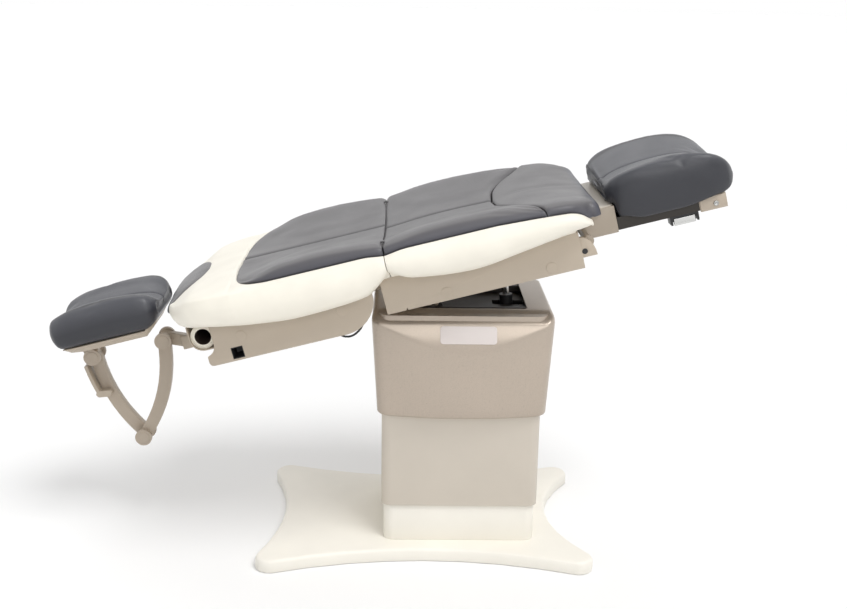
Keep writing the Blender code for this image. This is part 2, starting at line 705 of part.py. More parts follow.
def seat_frame(axis, shift):
    half = FRAME_HALF_WIDTH
    deck_low = DECK_TOP - DECK_THICK
    inside = half - 0.5 * SHEET
    deck_top = DECK_TOP - PANEL_RIM
    deck = block(SEAT_HEAD_END, SEAT_FOOT_END, -inside, inside, deck_low, deck_top)
    flange_top = DECK_TOP - 0.5 * DECK_THICK
    flange_low = DECK_TOP - FLANGE_DEPTH
    pieces = []
    holes = []
    pivot = to_table(TILT_PIVOT_X, TILT_PIVOT_Z)
    lug_y = HEAD_CHEEK_Y + HEAD_CHEEK_THICK + SLIDE_GAP
    foot_flange = FOOT_HINGE_U - FOOT_EYE_RADIUS - 0.030
    for side in (1, -1):
        pieces.append(side_block(SEAT_HEAD_END, SEAT_FOOT_END, half - SHEET, half, 0.0, DECK_TOP, side))
        lug = [(pivot[0] + 0.055, deck_low + 0.004), (pivot[0] - 0.055, deck_low + 0.004)]
        lug += arc(*pivot, 0.022, 180, 360, 8)
        pieces.append(side_plate(lug, lug_y, lug_y + HEAD_CHEEK_THICK, side))
        arm = [(SEAT_HEAD_END + 0.060, deck_low + 0.004)]
        arm += arc(BACK_HINGE_U, BACK_HINGE_W, BACK_EYE_RADIUS, 0, 180, 8)
        arm.append((SEAT_HEAD_END, deck_low + 0.004))
        inner = half - SHEET - SLIDE_GAP
        pieces.append(side_plate(arm, inner - HINGE_ARM_THICK, inner, side))
    head_flange = SEAT_HEAD_END + PANEL_RIM
    pieces.append(block(head_flange, head_flange + SHEET, -inside, inside, flange_low, flange_top))
    pieces.append(block(foot_flange, foot_flange + SHEET, -inside, inside, flange_low, flange_top))
    for (u, w), y in ((BACK_BASE, BACK_ACTUATOR_Y), (FOOT_BASE, FOOT_ACTUATOR_Y)):
        ear = [(u + 0.024, deck_low + 0.004), (u - 0.024, deck_low + 0.004)]
        ear += arc(u, w, 0.018, 180, 360, 8)
        for inner in (y + CLEVIS_HALF, y - CLEVIS_HALF - CLEVIS_THICK):
            pieces.append(plate(ear, inner, inner + CLEVIS_THICK))
        holes.append(rod_y(u, w, TRUNNION_RADIUS + PIN_GAP, y - 0.05, y + 0.05))
    u, w = TILT_TIP
    lug = [(u + 0.030, deck_low + 0.004), (u - 0.030, deck_low + 0.004)] + arc(u, w, LUG_RADIUS, 180, 360, 8)
    pieces.append(plate(lug, -LUG_HALF_THICK, LUG_HALF_THICK))
    holes.append(rod_y(u, w, TRUNNION_RADIUS, -0.02, 0.02))
    holes.append(rod_y(*pivot, TILT_PIN_RADIUS + PIN_GAP, -0.2, 0.2))
    holes.append(rod_y(BACK_HINGE_U, BACK_HINGE_W, BACK_PIN_RADIUS + PIN_GAP, -0.4, 0.4))
    holes.append(block(
        SEAT_HEAD_END - 0.01, SEAT_HEAD_END + 0.075, BACK_ACTUATOR_Y - 0.018, BACK_ACTUATOR_Y + 0.018,
        DECK_TOP - 0.050, DECK_TOP + 0.01))
    notch_u = SEAT_HEAD_END + 0.057
    holes.append(plate([(notch_u - 0.007, -0.01), (notch_u + 0.007, -0.01), (notch_u, 0.007)], -0.4, 0.4))
    add_part("seat_frame", cut(fuse(deck, *pieces), *holes), "beige", axis, shift)


def back_panel_profile():
    """Side panel of the back: round lower corner at the foot end, cut out round the roll at the head end."""
    top = DECK_TOP
    low = BACK_PANEL_BOTTOM
    foot = BACK_FOOT_END
    head = BACK_HEAD_END
    lip = head - 0.027
    profile = [(foot, top), (head, top)]
    profile += arc(head - 0.034, 0.034, 0.034, 0, -75, 6)
    profile += [(lip, 0.000), (lip, -0.014)]
    profile += arc(lip + 0.012, low + 0.012, 0.012, 180, 270, 3)
    profile += arc(foot - 0.100, low + 0.100, 0.100, 270, 350, 8)
    return profile


def back_hinge_arm():
    """Arm of the back panel that rises to the hinge between the cushions."""
    root = [(BACK_FOOT_END - 0.060, DECK_TOP - 0.030), (BACK_FOOT_END - 0.008, DECK_TOP - 0.030)]
    return root + arc(BACK_HINGE_U, BACK_HINGE_W, BACK_EYE_RADIUS, -45, 135, 8)


def back_lever():
    """Lever under the back's foot end that the back actuator pushes on."""
    tip = BACK_TIP
    root = DECK_TOP - DECK_THICK + 0.004
    outline = [(BACK_FOOT_END - 0.060, root), (BACK_FOOT_END - 0.050, tip[1] - LUG_RADIUS)]
    outline += arc(*tip, LUG_RADIUS, 270, 450, 8)
    return outline + [(BACK_FOOT_END - 0.008, tip[1] + LUG_RADIUS), (BACK_FOOT_END - 0.008, root)]


def back_frame(axis, shift):
    half = FRAME_HALF_WIDTH
    deck_low = DECK_TOP - DECK_THICK
    taper = BACK_HEAD_END - 0.010
    inside = half - 0.5 * SHEET
    foot = BACK_FOOT_END - PANEL_RIM
    outline = [(foot, -inside), (foot, inside), (taper, inside)]
    outline += [(BACK_DECK_END, 0.62 * half), (BACK_DECK_END, -0.62 * half), (taper, -inside)]
    deck = slab(outline, deck_low, DECK_TOP - PANEL_RIM)
    flange_top = DECK_TOP - 0.5 * DECK_THICK
    pieces = []
    sleeve_half = 0.5 * BAR_WIDTH + SLIDE_GAP + SLEEVE_WALL
    sleeve_low = BAR_TOP - BAR_DEPTH - SLIDE_GAP - SLEEVE_WALL
    sleeve_top = BAR_TOP + SLIDE_GAP + SLEEVE_WALL
    for side in (1, -1):
        pieces.append(side_plate(back_panel_profile(), half - SHEET, half, side))
        pieces.append(side_plate(back_hinge_arm(), half - SHEET, half, side))
        pieces.append(side_block(
            SLEEVE_HEAD_END + 0.030, SLEEVE_FOOT_END - 0.030, sleeve_half - 0.003, sleeve_half + 0.004,
            sleeve_low + 0.004, deck_low + 0.004, side))
    flange_foot = foot - PANEL_RIM
    pieces.append(block(flange_foot - SHEET, flange_foot, -inside, inside, DECK_TOP - FLANGE_DEPTH, flange_top))
    cross = BACK_HEAD_END + 0.010
    pieces.append(block(cross, cross + SHEET, -inside, inside, ROLL_W - ROLL_RADIUS - SHEET, flange_top))
    pieces.append(block(SLEEVE_HEAD_END, SLEEVE_FOOT_END, -sleeve_half, sleeve_half, sleeve_low, sleeve_top))
    y = BACK_ACTUATOR_Y
    pieces.append(plate(back_lever(), y - LUG_HALF_THICK, y + LUG_HALF_THICK))
    bar_half = 0.5 * BAR_WIDTH + SLIDE_GAP
    socket = 0.5 * SOCKET_SIDE + SOCKET_WALL + GAP
    holes = [
        block(-1.0, 0.0, -bar_half, bar_half, BAR_TOP - BAR_DEPTH - SLIDE_GAP, BAR_TOP + SLIDE_GAP),
        block(SOCKET_U - socket, SOCKET_U + socket, -0.4, 0.4, SOCKET_W - socket, SOCKET_W + socket),
        rod_y(BACK_HINGE_U, BACK_HINGE_W, BACK_PIN_RADIUS + PIN_GAP, -0.4, 0.4),
        rod_y(*BACK_TIP, TRUNNION_RADIUS, y - 0.02, y + 0.02),
    ]
    sleeve_guard = sleeve_half + 0.006
    holes[1] = cut(holes[1], block(-1.0, 0.0, -sleeve_guard, sleeve_guard, -0.1, 0.1))
    add_part("back_frame", cut(fuse(deck, *pieces), *holes), "beige", axis, shift)


def back_hinge_pins(axis, shift):
    inner = FRAME_HALF_WIDTH - SHEET - SLIDE_GAP - HINGE_ARM_THICK
    for side, name in ((-1, "near"), (1, "far")):
        low, high = sorted((side * inner, side * FRAME_HALF_WIDTH))
        pin = rod_y(BACK_HINGE_U, BACK_HINGE_W, BACK_PIN_RADIUS, low, high, 16)
        add_part("back_hinge_pin_" + name, pin, "chrome", axis, shift)


# Cushions

def mirrored(half):
    """Closed ring from a half outline that starts and ends on the centre plane."""
    return half + [(-y, w) for y, w in half[-2:0:-1]]


def ring_at(u, half):
    return [(u, y, w) for y, w in mirrored(half)]


def quarter_drop(share, depth):
    """Fall of a rounded edge: 0 where the rounding starts, depth where it ends."""
    share = min(max(share, 0.0), 1.0)
    return depth * (1.0 - math.sqrt(1.0 - share * share))


def pad_half(half_width, base, drop, seam=PAD_SEAM):
    """Half section of a grey pad: two raised side rolls and a crease along the centre."""
    roll = max(PAD_ROLL - drop, seam + 0.010)
    crease = max(PAD_CREASE - CREASE_FOLLOW * drop, base + SEAM_GAP)
    rise = roll - crease
    return [
        (0.0, base), (half_width - 0.048, base), (half_width - 0.006, max(seam - 0.004, base)),
        (half_width, seam + 0.004), (half_width - 0.003, seam + 0.6 * (roll - seam)),
        (half_width - 0.014, roll - 0.004), (half_width - 0.038, roll),
        (0.62 * half_width, crease + 0.60 * rise), (0.30 * half_width, crease + 0.25 * rise),
        (0.010, crease + 0.003), (0.0, crease),
    ]


def bolster_half(half_width, pad_width, skirt, top_drop, lip):
    """Half section of a white bolster: side roll outside the frame, shelf for the grey pad inside.

    With lip, the roll's inner edge hangs down outside the frame's side panel.
    """
    inner = min(FRAME_HALF_WIDTH + GAP, half_width - 0.045)
    floor = DECK_TOP + GAP
    shelf = PAD_BASE - GAP
    seam = PAD_SEAM - top_drop
    skirt = min(skirt, seam - SIDE_LEAST)
    side = seam - skirt
    edge = (inner, min(skirt, floor - 0.002)) if lip else (inner + 0.004, floor + GAP)
    return [
        (0.0, floor), (inner, floor), edge, (0.5 * (inner + half_width - 0.022), skirt - 0.002),
        (half_width - 0.022, skirt + 0.08 * side), (half_width - 0.005, skirt + 0.30 * side),
        (half_width, skirt + 0.58 * side), (half_width - 0.005, skirt + 0.80 * side),
        (half_width - 0.014, skirt + 0.94 * side), (pad_width + 0.0045, seam - 0.001),
        (pad_width - 0.004, seam - 0.008), (pad_width - 0.046, min(shelf, seam - 0.010)),
        (0.0, min(shelf, seam - 0.010)),
    ]


def blend_between(knots, u):
    """Value at u on straight runs between (u, value) knots."""
    if u <= knots[0][0]:
        return knots[0][1]
    for (u0, v0), (u1, v1) in zip(knots, knots[1:]):
        if u <= u1:
            return v0 + (v1 - v0) * (u - u0) / (u1 - u0)
    return knots[-1][1]


def hinge_slot(start, end):
    """Room in the cushions for the two hinge arms on each side."""
    inner = FRAME_HALF_WIDTH - SHEET - SLIDE_GAP - HINGE_ARM_THICK - 0.001
    outer = FRAME_HALF_WIDTH + 0.001
    top = BACK_HINGE_W + BACK_EYE_RADIUS + 0.001
    return both_sides(lambda side: side_block(start, end, inner, outer, 0.0, top, side))


def seat_cushions(axis, shift):
    start = BACK_HINGE_U + CUSHION_END_GAP
    end = SEAT_BOLSTER_END
    stop = SEAT_PAD_END

    def at(share):
        return start + share * (end - start)

    skirt = [(start, 0.130), (at(0.10), 0.101), (at(0.40), 0.082), (at(0.65), 0.100), (at(0.90), 0.122)]
    plan = [(start, 0.0), (end - 0.120, 0.0), (end - 0.057, 0.007), (end - 0.020, 0.026), (end, 0.050)]
    top_drop = [(at(0.55), 0.0), (at(0.78), 0.008), (at(0.90), 0.015), (at(0.95), 0.028), (at(0.98), 0.044)]
    top_drop.append((end, 0.056))
    slots = hinge_slot(start - 0.030, BACK_HINGE_U + BACK_EYE_RADIUS + 0.035)
    over_box = block(
        SEAT_FOOT_END + 0.004, stop + 0.1, -FOOT_BOX_HALF_WIDTH - 0.015, FOOT_BOX_HALF_WIDTH + 0.015,
        0.0, FOOT_BOX_TOP + 0.007)
    rounding = [start, start + 0.004, start + 0.010, start + CUSHION_ROUND]
    shared = [at(share) for share in (0.55, 0.65, 0.78, 0.85, 0.90, 0.95, 0.98)]

    rings = []
    for u in [*rounding, at(0.10), at(0.23), at(0.40), *shared, end]:
        inset = blend_between(plan, u) + quarter_drop(1.0 - (u - start) / CUSHION_ROUND, 0.012)
        lip = u < SEAT_FOOT_END - 0.020
        drawn = blend_between(skirt, u)
        fall = blend_between(top_drop, u)
        half = bolster_half(BOLSTER_HALF_WIDTH - inset, PAD_HALF_WIDTH - inset, drawn, fall, lip)
        rings.append(ring_at(u, half))
    add_part("seat_bolster", cut(loft(rings), over_box, *slots), "white_vinyl", axis, shift)

    front_base = FOOT_BOX_TOP + 0.008
    roll_fall = [(at(0.40), 0.0), (at(0.58), 0.005), (at(0.71), 0.012), (at(0.877), 0.020), (at(0.956), 0.030)]
    roll_fall += [(end + 0.004, 0.043), (stop - 0.010, 0.054), (stop - 0.003, 0.062), (stop, 0.070)]
    overhang_stations = [end + 0.004, stop - 0.010, stop - 0.003, stop]
    rings = []
    for u in [*rounding, at(0.22), at(0.40), *shared, end, end + 0.001, *overhang_stations]:
        inset = blend_between(plan, u) + quarter_drop((u - stop + 0.024) / 0.024, 0.020)
        inset += quarter_drop(1.0 - (u - start) / CUSHION_ROUND, 0.012)
        drop = quarter_drop(1.0 - (u - start) / CUSHION_ROUND, CUSHION_ROUND_DEPTH)
        drop += blend_between(roll_fall, u)
        overhang = u > end + 0.002
        seam = PAD_SEAM - blend_between(top_drop, u)
        base = front_base if overhang else min(PAD_BASE, seam - 0.010 + GAP)
        if overhang:
            seam = PAD_ROLL - drop - 0.012
        rings.append(ring_at(u, pad_half(PAD_HALF_WIDTH - inset, base, drop, seam)))
    whole = cut(loft(rings), over_box)
    spare = whole.copy()
    add_part("seat_pad", cut(whole, d_panel(SEAM_GAP), *slots), "grey_vinyl", axis, shift)
    add_part("seat_front_pad", common(spare, d_panel(0.0)), "grey_vinyl", axis, shift)


def d_panel(grow):
    """Upright prism with the plan of the D-shaped foot-end pad."""
    reach = 0.270
    back = 0.125 - grow
    wide = PAD_HALF_WIDTH + 0.02
    outline = [(SEAT_PAD_END + 0.05, -wide), (SEAT_PAD_END + 0.05, wide), (0.300 - grow, wide)]
    steps = 12
    for i in range(steps + 1):
        y = reach - 2.0 * reach * i / steps
        outline.append((back + 0.085 * (abs(y) / reach) ** 3.0, y))
    outline.append((0.300 - grow, -wide))
    return slab(outline, 0.05, 0.40)


def back_cushions(axis, shift):
    start = BACK_HINGE_U - CUSHION_END_GAP
    end = BACK_BOLSTER_END
    slots = hinge_slot(BACK_FOOT_END - 0.072, start + 0.030)
    skirt = [(end, 0.103), (-0.810, 0.098), (-0.760, 0.098), (-0.672, 0.088), (-0.573, 0.074), (-0.471, 0.064)]
    skirt += [(-0.353, 0.068), (-0.261, 0.078), (-0.227, 0.100), (start, 0.130)]
    full = BOLSTER_HALF_WIDTH
    width = [(end, 0.38 * full), (end + 0.012, 0.52 * full), (end + 0.045, 0.73 * full)]
    width += [(end + 0.090, 0.87 * full), (end + 0.150, 0.955 * full), (end + 0.230, full), (start, full)]
    top_drop = [(end, 0.050), (end + 0.020, 0.030), (end + 0.060, 0.017), (end + 0.110, 0.005)]
    top_drop.append((end + 0.180, 0.0))
    pad_end = BACK_PAD_END
    full = PAD_HALF_WIDTH
    pad_plan = [(pad_end, 0.383 * full), (pad_end + 0.008, 0.656 * full), (pad_end + 0.030, 0.847 * full)]
    pad_plan += [(pad_end + 0.065, 0.951 * full), (pad_end + 0.110, full), (start, full)]

    rings = []
    stations = [end, end + 0.012, end + 0.030, end + 0.060, end + 0.100, end + 0.160]
    stations += [pad_end - 0.006, pad_end - 0.001, pad_end + 0.008, pad_end + 0.030, pad_end + 0.065]
    stations += [pad_end + 0.110, -0.471, -0.353, -0.261]
    stations += [start - CUSHION_ROUND, start - 0.010, start - 0.004, start]
    for u in stations:
        inset = quarter_drop(1.0 + (u - start) / CUSHION_ROUND, 0.012)
        half_width = blend_between(width, u) - inset
        pad_width = blend_between(pad_plan, u) - inset
        if u < pad_end - 0.003:
            pad_width = half_width - 0.060
        half = bolster_half(half_width, pad_width, blend_between(skirt, u), blend_between(top_drop, u), True)
        if u < pad_end - 0.003:
            crown = min(max((CROWN_START - u) / CROWN_RUN, 0.0), 1.0)
            half = closed_top(half, PAD_SEAM - blend_between(top_drop, u), crown)
        rings.append(ring_at(u, half))
    white = cut(loft(rings), neck_shape(GAP + 0.0001), *slots)
    add_part("back_bolster", white, "white_vinyl", axis, shift)

    rings = []
    stations = [pad_end, pad_end + 0.008, pad_end + 0.030, pad_end + 0.065, pad_end + 0.110]
    stations += [-0.400, -0.300, start - CUSHION_ROUND, start - 0.010, start - 0.004, start]
    for u in stations:
        drop = quarter_drop(1.0 + (u - start) / CUSHION_ROUND, CUSHION_ROUND_DEPTH)
        drop += quarter_drop(1.0 - (u - pad_end) / 0.050, 0.022)
        pad_width = blend_between(pad_plan, u) - quarter_drop(1.0 + (u - start) / CUSHION_ROUND, 0.012)
        rings.append(ring_at(u, pad_half(pad_width, PAD_BASE, drop)))
    add_part("back_pad", cut(loft(rings), *slots), "grey_vinyl", axis, shift)
    above_deck = block(-1.0, 0.0, -0.5, 0.5, DECK_TOP + CUSHION_END_GAP, 0.4)
    add_part("neck_pad", common(neck_shape(0.0), above_deck), "grey_vinyl", axis, shift)


def closed_top(half, seam, crown):
    """Bolster section past the grey pad: the shelf is filled up, and crown rounds it towards the sides."""
    skin = half[:-6]
    low = half[3][1]
    wide = half[6][0]
    side = seam - low
    skin.append((wide - 0.005 - 0.003 * crown, low + (0.80 - 0.06 * crown) * side))
    skin.append((wide - 0.014 - 0.016 * crown, low + (0.94 - 0.10 * crown) * side))
    edge = skin[-1][0]
    crest = [(0.80, 0.013), (0.50, 0.004), (0.25, 0.001), (0.0, 0.0)]
    return skin + [(share * edge, seam - fall * crown) for share, fall in crest]


def neck_shape(grow):
    """Leaf-shaped roll across the head end of the back."""
    reach = 0.65 * BOLSTER_HALF_WIDTH
    centre = (BACK_BOLSTER_END + 0.026, 0.150)
    rings = []
    steps = 12
    for i in range(steps + 1):
        y = -reach + 2.0 * reach * i / steps
        share = 1.0 - (y / reach) ** 2
        long_half = 0.009 + 0.024 * share + grow
        tall_half = 0.010 + 0.024 * share + grow
        u = centre[0] + 0.056 * (y / reach) ** 2
        ring = []
        for k in range(12):
            a = 2.0 * math.pi * k / 12
            ring.append((u + long_half * math.cos(a), y + grow * (y / reach), centre[1] + tall_half * math.sin(a)))
        rings.append(ring)
    return loft(rings)


# Paper roll, tray, socket, cable loop

def paper_parts(back_axis, back_shift, roll_axis, roll_shift):
    inner = ROLL_RADIUS + GAP
    outer = inner + TRAY_THICK
    top = DECK_TOP - DECK_THICK - GAP
    end = BACK_HEAD_END + 0.010 - GAP
    profile = [(end, ROLL_W - outer), (end, ROLL_W - inner)]
    profile += arc(ROLL_U, ROLL_W, inner, 270, 180, 8)
    profile += [(ROLL_U - inner, top), (ROLL_U - outer, top)]
    profile += arc(ROLL_U, ROLL_W, outer, 180, 270, 8)
    half = FRAME_HALF_WIDTH - SHEET - 0.006
    add_part("paper_tray", plate(profile, -half, half), "beige", back_axis, back_shift)
    roll = rod_y(ROLL_U, ROLL_W, ROLL_RADIUS, -ROLL_HALF_LENGTH, ROLL_HALF_LENGTH, 40)
    core = rod_y(ROLL_U, ROLL_W, ROLL_CORE_RADIUS, -0.4, 0.4, 40)
    add_part("paper_roll", cut(roll, core), "paper", roll_axis, roll_shift)


def accessory_sockets(axis, shift):
    half = 0.5 * SOCKET_SIDE
    outer = half + SOCKET_WALL
    for side, name in ((-1, "near"), (1, "far")):
        reach = FRAME_HALF_WIDTH
        body = side_block(
            SOCKET_U - outer, SOCKET_U + outer, reach - SOCKET_DEPTH, reach,
            SOCKET_W - outer, SOCKET_W + outer, side)
        mouth = side_block(
            SOCKET_U - half, SOCKET_U + half, reach - SOCKET_DEPTH + SOCKET_WALL, reach + 0.01,
            SOCKET_W - half, SOCKET_W + half, side)
        add_part("accessory_socket_" + name, cut(body, mouth), "black", axis, shift)


def cable_loop(axis, shift):
    """Short lead that hangs in a bow under the back's foot end, clipped to the deck at both ends."""
    y = -FRAME_HALF_WIDTH + SHEET + CABLE_INSET
    top = DECK_TOP - DECK_THICK - GAP
    path = smooth_path([(CABLE_CLIP_U[0], top), *CABLE_KNOTS, (CABLE_CLIP_U[1], top)], 5)
    rings = []
    for i, (u, w) in enumerate(path):
        before = path[max(i - 1, 0)]
        after = path[min(i + 1, len(path) - 1)]
        along = Vector((after[0] - before[0], after[1] - before[1]))
        if i in (0, len(path) - 1):
            along = Vector((0.0, -1.0 if i == 0 else 1.0))
        along.normalize()
        ring = []
        for k in range(8):
            a = math.pi * k / 4
            out = CABLE_RADIUS * math.cos(a)
            ring.append((u - along[1] * out, y + CABLE_RADIUS * math.sin(a), w + along[0] * out))
        rings.append(ring)
    add_part("cable_loop", loft(rings), "black", axis, shift)


def smooth_path(knots, steps):
    """Catmull-Rom points through the knots."""
    points = [Vector(k) for k in knots]
    points = [2 * points[0] - points[1], *points, 2 * points[-1] - points[-2]]
    path = []
    for i in range(1, len(points) - 2):
        p0, p1, p2, p3 = points[i - 1:i + 3]
        for k in range(steps):
            t = k / steps
            path.append(tuple(0.5 * (
                2 * p1 + (p2 - p0) * t + (2 * p0 - 5 * p1 + 4 * p2 - p3) * t ** 2
                + (3 * p1 - p0 - 3 * p2 + p3) * t ** 3)))
    path.append(tuple(points[-2]))
    return path


# Headrest

def bowed_link(start, end, width, bow):
    """Outline of a link that bows to one side of its chord, with round ends."""
    chord = Vector((end[0] - start[0], end[1] - start[1]))
    normal = Vector((chord[1], -chord[0])).normalized()
    half = 0.5 * width
    left = []
    right = []
    steps = 12
    for i in range(steps + 1):
        t = i / steps
        centre = Vector(start) + chord * t + normal * (bow * 4.0 * t * (1.0 - t))
        heading = (chord + normal * (bow * 4.0 * (1.0 - 2.0 * t))).normalized()
        across = Vector((heading[1], -heading[0]))
        right.append(tuple(centre + across * half))
        left.append(tuple(centre - across * half))
    return right, left


def link_outline(start, end, width, bow):
    right, left = bowed_link(start, end, width, bow)

    def cap(first, second):
        centre = 0.5 * (Vector(first) + Vector(second))
        angle = math.degrees(math.atan2(first[1] - centre[1], first[0] - centre[0]))
        return arc(*centre, 0.5 * width, angle, angle + 180, 8)[1:-1]

    return right + cap(right[-1], left[-1]) + left[::-1] + cap(left[0], right[0])


def release_pivot():
    """Pivot of the release lever, past half way up the lower link."""
    right, left = bowed_link(ELBOW, HEAD_PIVOT, LINK_WIDTH, -LOWER_LINK_BOW)
    return tuple(0.5 * (Vector(right[RELEASE_START]) + Vector(left[RELEASE_START])))


def release_lever(near, far):
    """Grip along the outer edge of the lower link, standing off further towards its free end."""
    right, left = bowed_link(ELBOW, HEAD_PIVOT, LINK_WIDTH, -LOWER_LINK_BOW)
    inner = []
    outer = []
    for i in range(RELEASE_START, 12):
        outward = (Vector(left[i]) - Vector(right[i])).normalized()
        stand_off = RELEASE_STAND_OFF + RELEASE_SPREAD * (i - RELEASE_START)
        inner.append(tuple(Vector(left[i]) + outward * stand_off))
        outer.append(tuple(Vector(left[i]) + outward * (stand_off + RELEASE_GRIP_DEPTH)))
    grip = plate(inner + outer[::-1], near[0], far[1])
    pivot = release_pivot()
    root = 0.5 * (Vector(inner[0]) + Vector(outer[0])) + 0.35 * (Vector(inner[1]) - Vector(inner[0]))
    ear = plate(capsule(pivot, tuple(root), RELEASE_EAR_RADIUS), near[0], near[1])
    stub = rod_y(*pivot, RELEASE_PIN_RADIUS, near[1] - 0.004, far[1])
    return fuse(grip, ear, stub)


def headrest_parts(axes, shifts):
    near = (-SLIDE_GAP - LINK_THICK, -SLIDE_GAP)
    far = (SLIDE_GAP, SLIDE_GAP + LINK_THICK)
    hole = HEAD_PIN_RADIUS + PIN_GAP

    def drilled(mesh, *points):
        return cut(mesh, *[rod_y(*point, hole, -0.1, 0.1) for point in points])

    bar_low = BAR_TOP - BAR_DEPTH
    neck = SHOULDER[0] + 0.048
    bar = block(neck, BAR_INNER_END, -0.5 * BAR_WIDTH, 0.5 * BAR_WIDTH, bar_low, BAR_TOP)
    knuckle = plate(capsule(SHOULDER, (neck + 0.014, BAR_TOP - 0.5 * BAR_DEPTH), 0.5 * LINK_WIDTH), *far)
    add_part("headrest_bar", drilled(fuse(bar, knuckle), SHOULDER), "steel", axes["bar"], shifts["bar"])

    upper = plate(link_outline(SHOULDER, ELBOW, LINK_WIDTH, -LINK_BOW), *near)
    add_part("headrest_upper_link", drilled(upper, SHOULDER, ELBOW), "beige", axes["upper"], shifts["upper"])

    lower = plate(link_outline(ELBOW, HEAD_PIVOT, LINK_WIDTH, -LOWER_LINK_BOW), *far)
    lever_u, lever_w = release_pivot()
    lever_bore = rod_y(lever_u, lever_w, RELEASE_PIN_RADIUS + PIN_GAP, -0.1, 0.1)
    lower = cut(drilled(lower, ELBOW, HEAD_PIVOT), lever_bore)
    add_part("headrest_lower_link", lower, "beige", axes["lower"], shifts["lower"])
    lever = release_lever(near, far)
    add_part("headrest_release_lever", lever, "beige", axes["release"], shifts["release"])

    lug_top = HEADREST_SHELL_TOP - 0.5 * HEADREST_SHELL_THICK
    lug_half = 0.8 * LINK_WIDTH
    lug = [(HEAD_PIVOT[0] - lug_half, lug_top), *arc(*HEAD_PIVOT, 0.5 * LINK_WIDTH, 180, 360, 8)]
    lug.append((HEAD_PIVOT[0] + lug_half, lug_top))
    shell = fuse(headrest_tray(), plate(lug, *near))
    add_part("headrest_shell", drilled(shell, HEAD_PIVOT), "beige", axes["head"], shifts["head"])
    add_part("headrest_cushion", headrest_cushion(), "grey_vinyl", axes["head"], shifts["head"])

    pivots = (("shoulder", SHOULDER, "bar"), ("elbow", ELBOW, "upper"), ("head", HEAD_PIVOT, "lower"))
    outside = LINK_THICK + SLIDE_GAP + GAP
    for name, point, owner in pivots:
        shaft = rod_y(*point, HEAD_PIN_RADIUS, -outside - 0.002, outside + 0.002)
        drums = [
            side_plate(disc(*point, DRUM_RADIUS), outside, outside + DRUM_THICK, side) for side in (1, -1)]
        add_part("headrest_%s_pin" % name, fuse(shaft, *drums), "beige", axes[owner], shifts[owner])


def headrest_bottom():
    """Knots of the cushion's underside along u, with the slope at the foot end."""
    head = HEADREST_HEAD_END
    foot = HEADREST_FOOT_END
    low = HEADREST_SHELL_TOP + GAP
    knots = [(head + d, w) for d, w in HEADREST_BOTTOM_HEAD]
    knots.append((head + HEADREST_BOTTOM_RISE, low))
    return knots + [(foot - HEADREST_BOTTOM_SLOPE, low), (foot, HEADREST_BOTTOM_END)]


def headrest_width():
    knots = [(HEADREST_HEAD_END + d, half) for d, half in HEADREST_WIDTH_HEAD]
    return knots + [(HEADREST_FOOT_END - d, half) for d, half in HEADREST_WIDTH_FOOT]


def headrest_tray():
    """Shell under the cushion, following its underside up the slope at the foot end."""
    head = HEADREST_HEAD_END + HEADREST_BOTTOM_RISE
    slope = HEADREST_FOOT_END - HEADREST_BOTTOM_SLOPE
    foot = HEADREST_FOOT_END - HEADREST_SHELL_INSET
    thick = HEADREST_SHELL_THICK
    stations = [(head, 0.25), (head + thick, 0.8), (head + 3.0 * thick, 1.0), (slope, 1.0), (foot, 0.25)]
    rings = []
    for u, share in stations:
        top = blend_between(headrest_bottom(), u) - 2.0 * GAP
        half = blend_between(headrest_width(), u) - HEADREST_SHELL_INSET
        low = top - share * thick
        edge = top - 0.3 * share * thick
        section = [(half, top), (half, edge), (half - 0.6 * thick, low), (0.0, low)]
        section += [(-y, w) for y, w in section[2::-1]]
        rings.append([(u, y, w) for y, w in section])
    return loft(rings)


def headrest_cushion():
    """Dished head pad: raised sides, centre crease, sloping underside at the foot end."""
    head = HEADREST_HEAD_END
    foot = HEADREST_FOOT_END
    top = [(head + d, w) for d, w in HEADREST_TOP_HEAD] + [(foot - d, w) for d, w in HEADREST_TOP_FOOT]
    stations = sorted({u for u, _ in headrest_bottom() + top + headrest_width()})
    rings = []
    for u in stations:
        floor = blend_between(headrest_bottom(), u)
        roll = blend_between(top, u)
        half = blend_between(headrest_width(), u)
        side = roll - floor
        dish = HEADREST_DISH * min(1.0, side / (roll - HEADREST_SHELL_TOP))
        rings.append(ring_at(u, [
            (0.0, floor), (0.77 * half, floor), (0.93 * half, floor + 0.10 * side),
            (half, floor + 0.42 * side), (0.975 * half, floor + 0.70 * side),
            (0.89 * half, roll - 0.05 * side), (0.76 * half, roll),
            (0.45 * half, roll - 0.55 * dish), (0.08 * half, roll - 0.92 * dish), (0.0, roll - dish),
        ]))
    return loft(rings)


# Foot section

def foot_brackets(axis, shift):
    """Quarter-round brackets at the foot end of the seat's side panels."""
    inner = FRAME_HALF_WIDTH - SHEET - GAP
    low = BRACKET_BOTTOM
    top = BRACKET_TOP
    root = SEAT_FOOT_END - 0.014
    for side, name in ((-1, "near"), (1, "far")):
        profile = [(root, low), (BRACKET_REACH, low)]
        reach = BRACKET_REACH - SEAT_FOOT_END
        for i in range(1, 7):
            a = math.radians(90.0 * i / 6)
            profile.append((SEAT_FOOT_END + reach * math.cos(a), low + (top - low) * math.sin(a)))
        profile.append((root, top))
        bracket = side_plate(profile, inner - BRACKET_THICK, inner, side)
        bore = rod_y(FOOT_HINGE_U, FOOT_HINGE_W, FOOT_PIN_RADIUS + PIN_GAP, -0.4, 0.4)
        add_part("foot_bracket_" + name, cut(bracket, bore), "beige", axis, shift)
    pin = rod_y(FOOT_HINGE_U, FOOT_HINGE_W, FOOT_PIN_RADIUS, -inner, inner)
    add_part("foot_hinge_pin", pin, "steel", axis, shift)


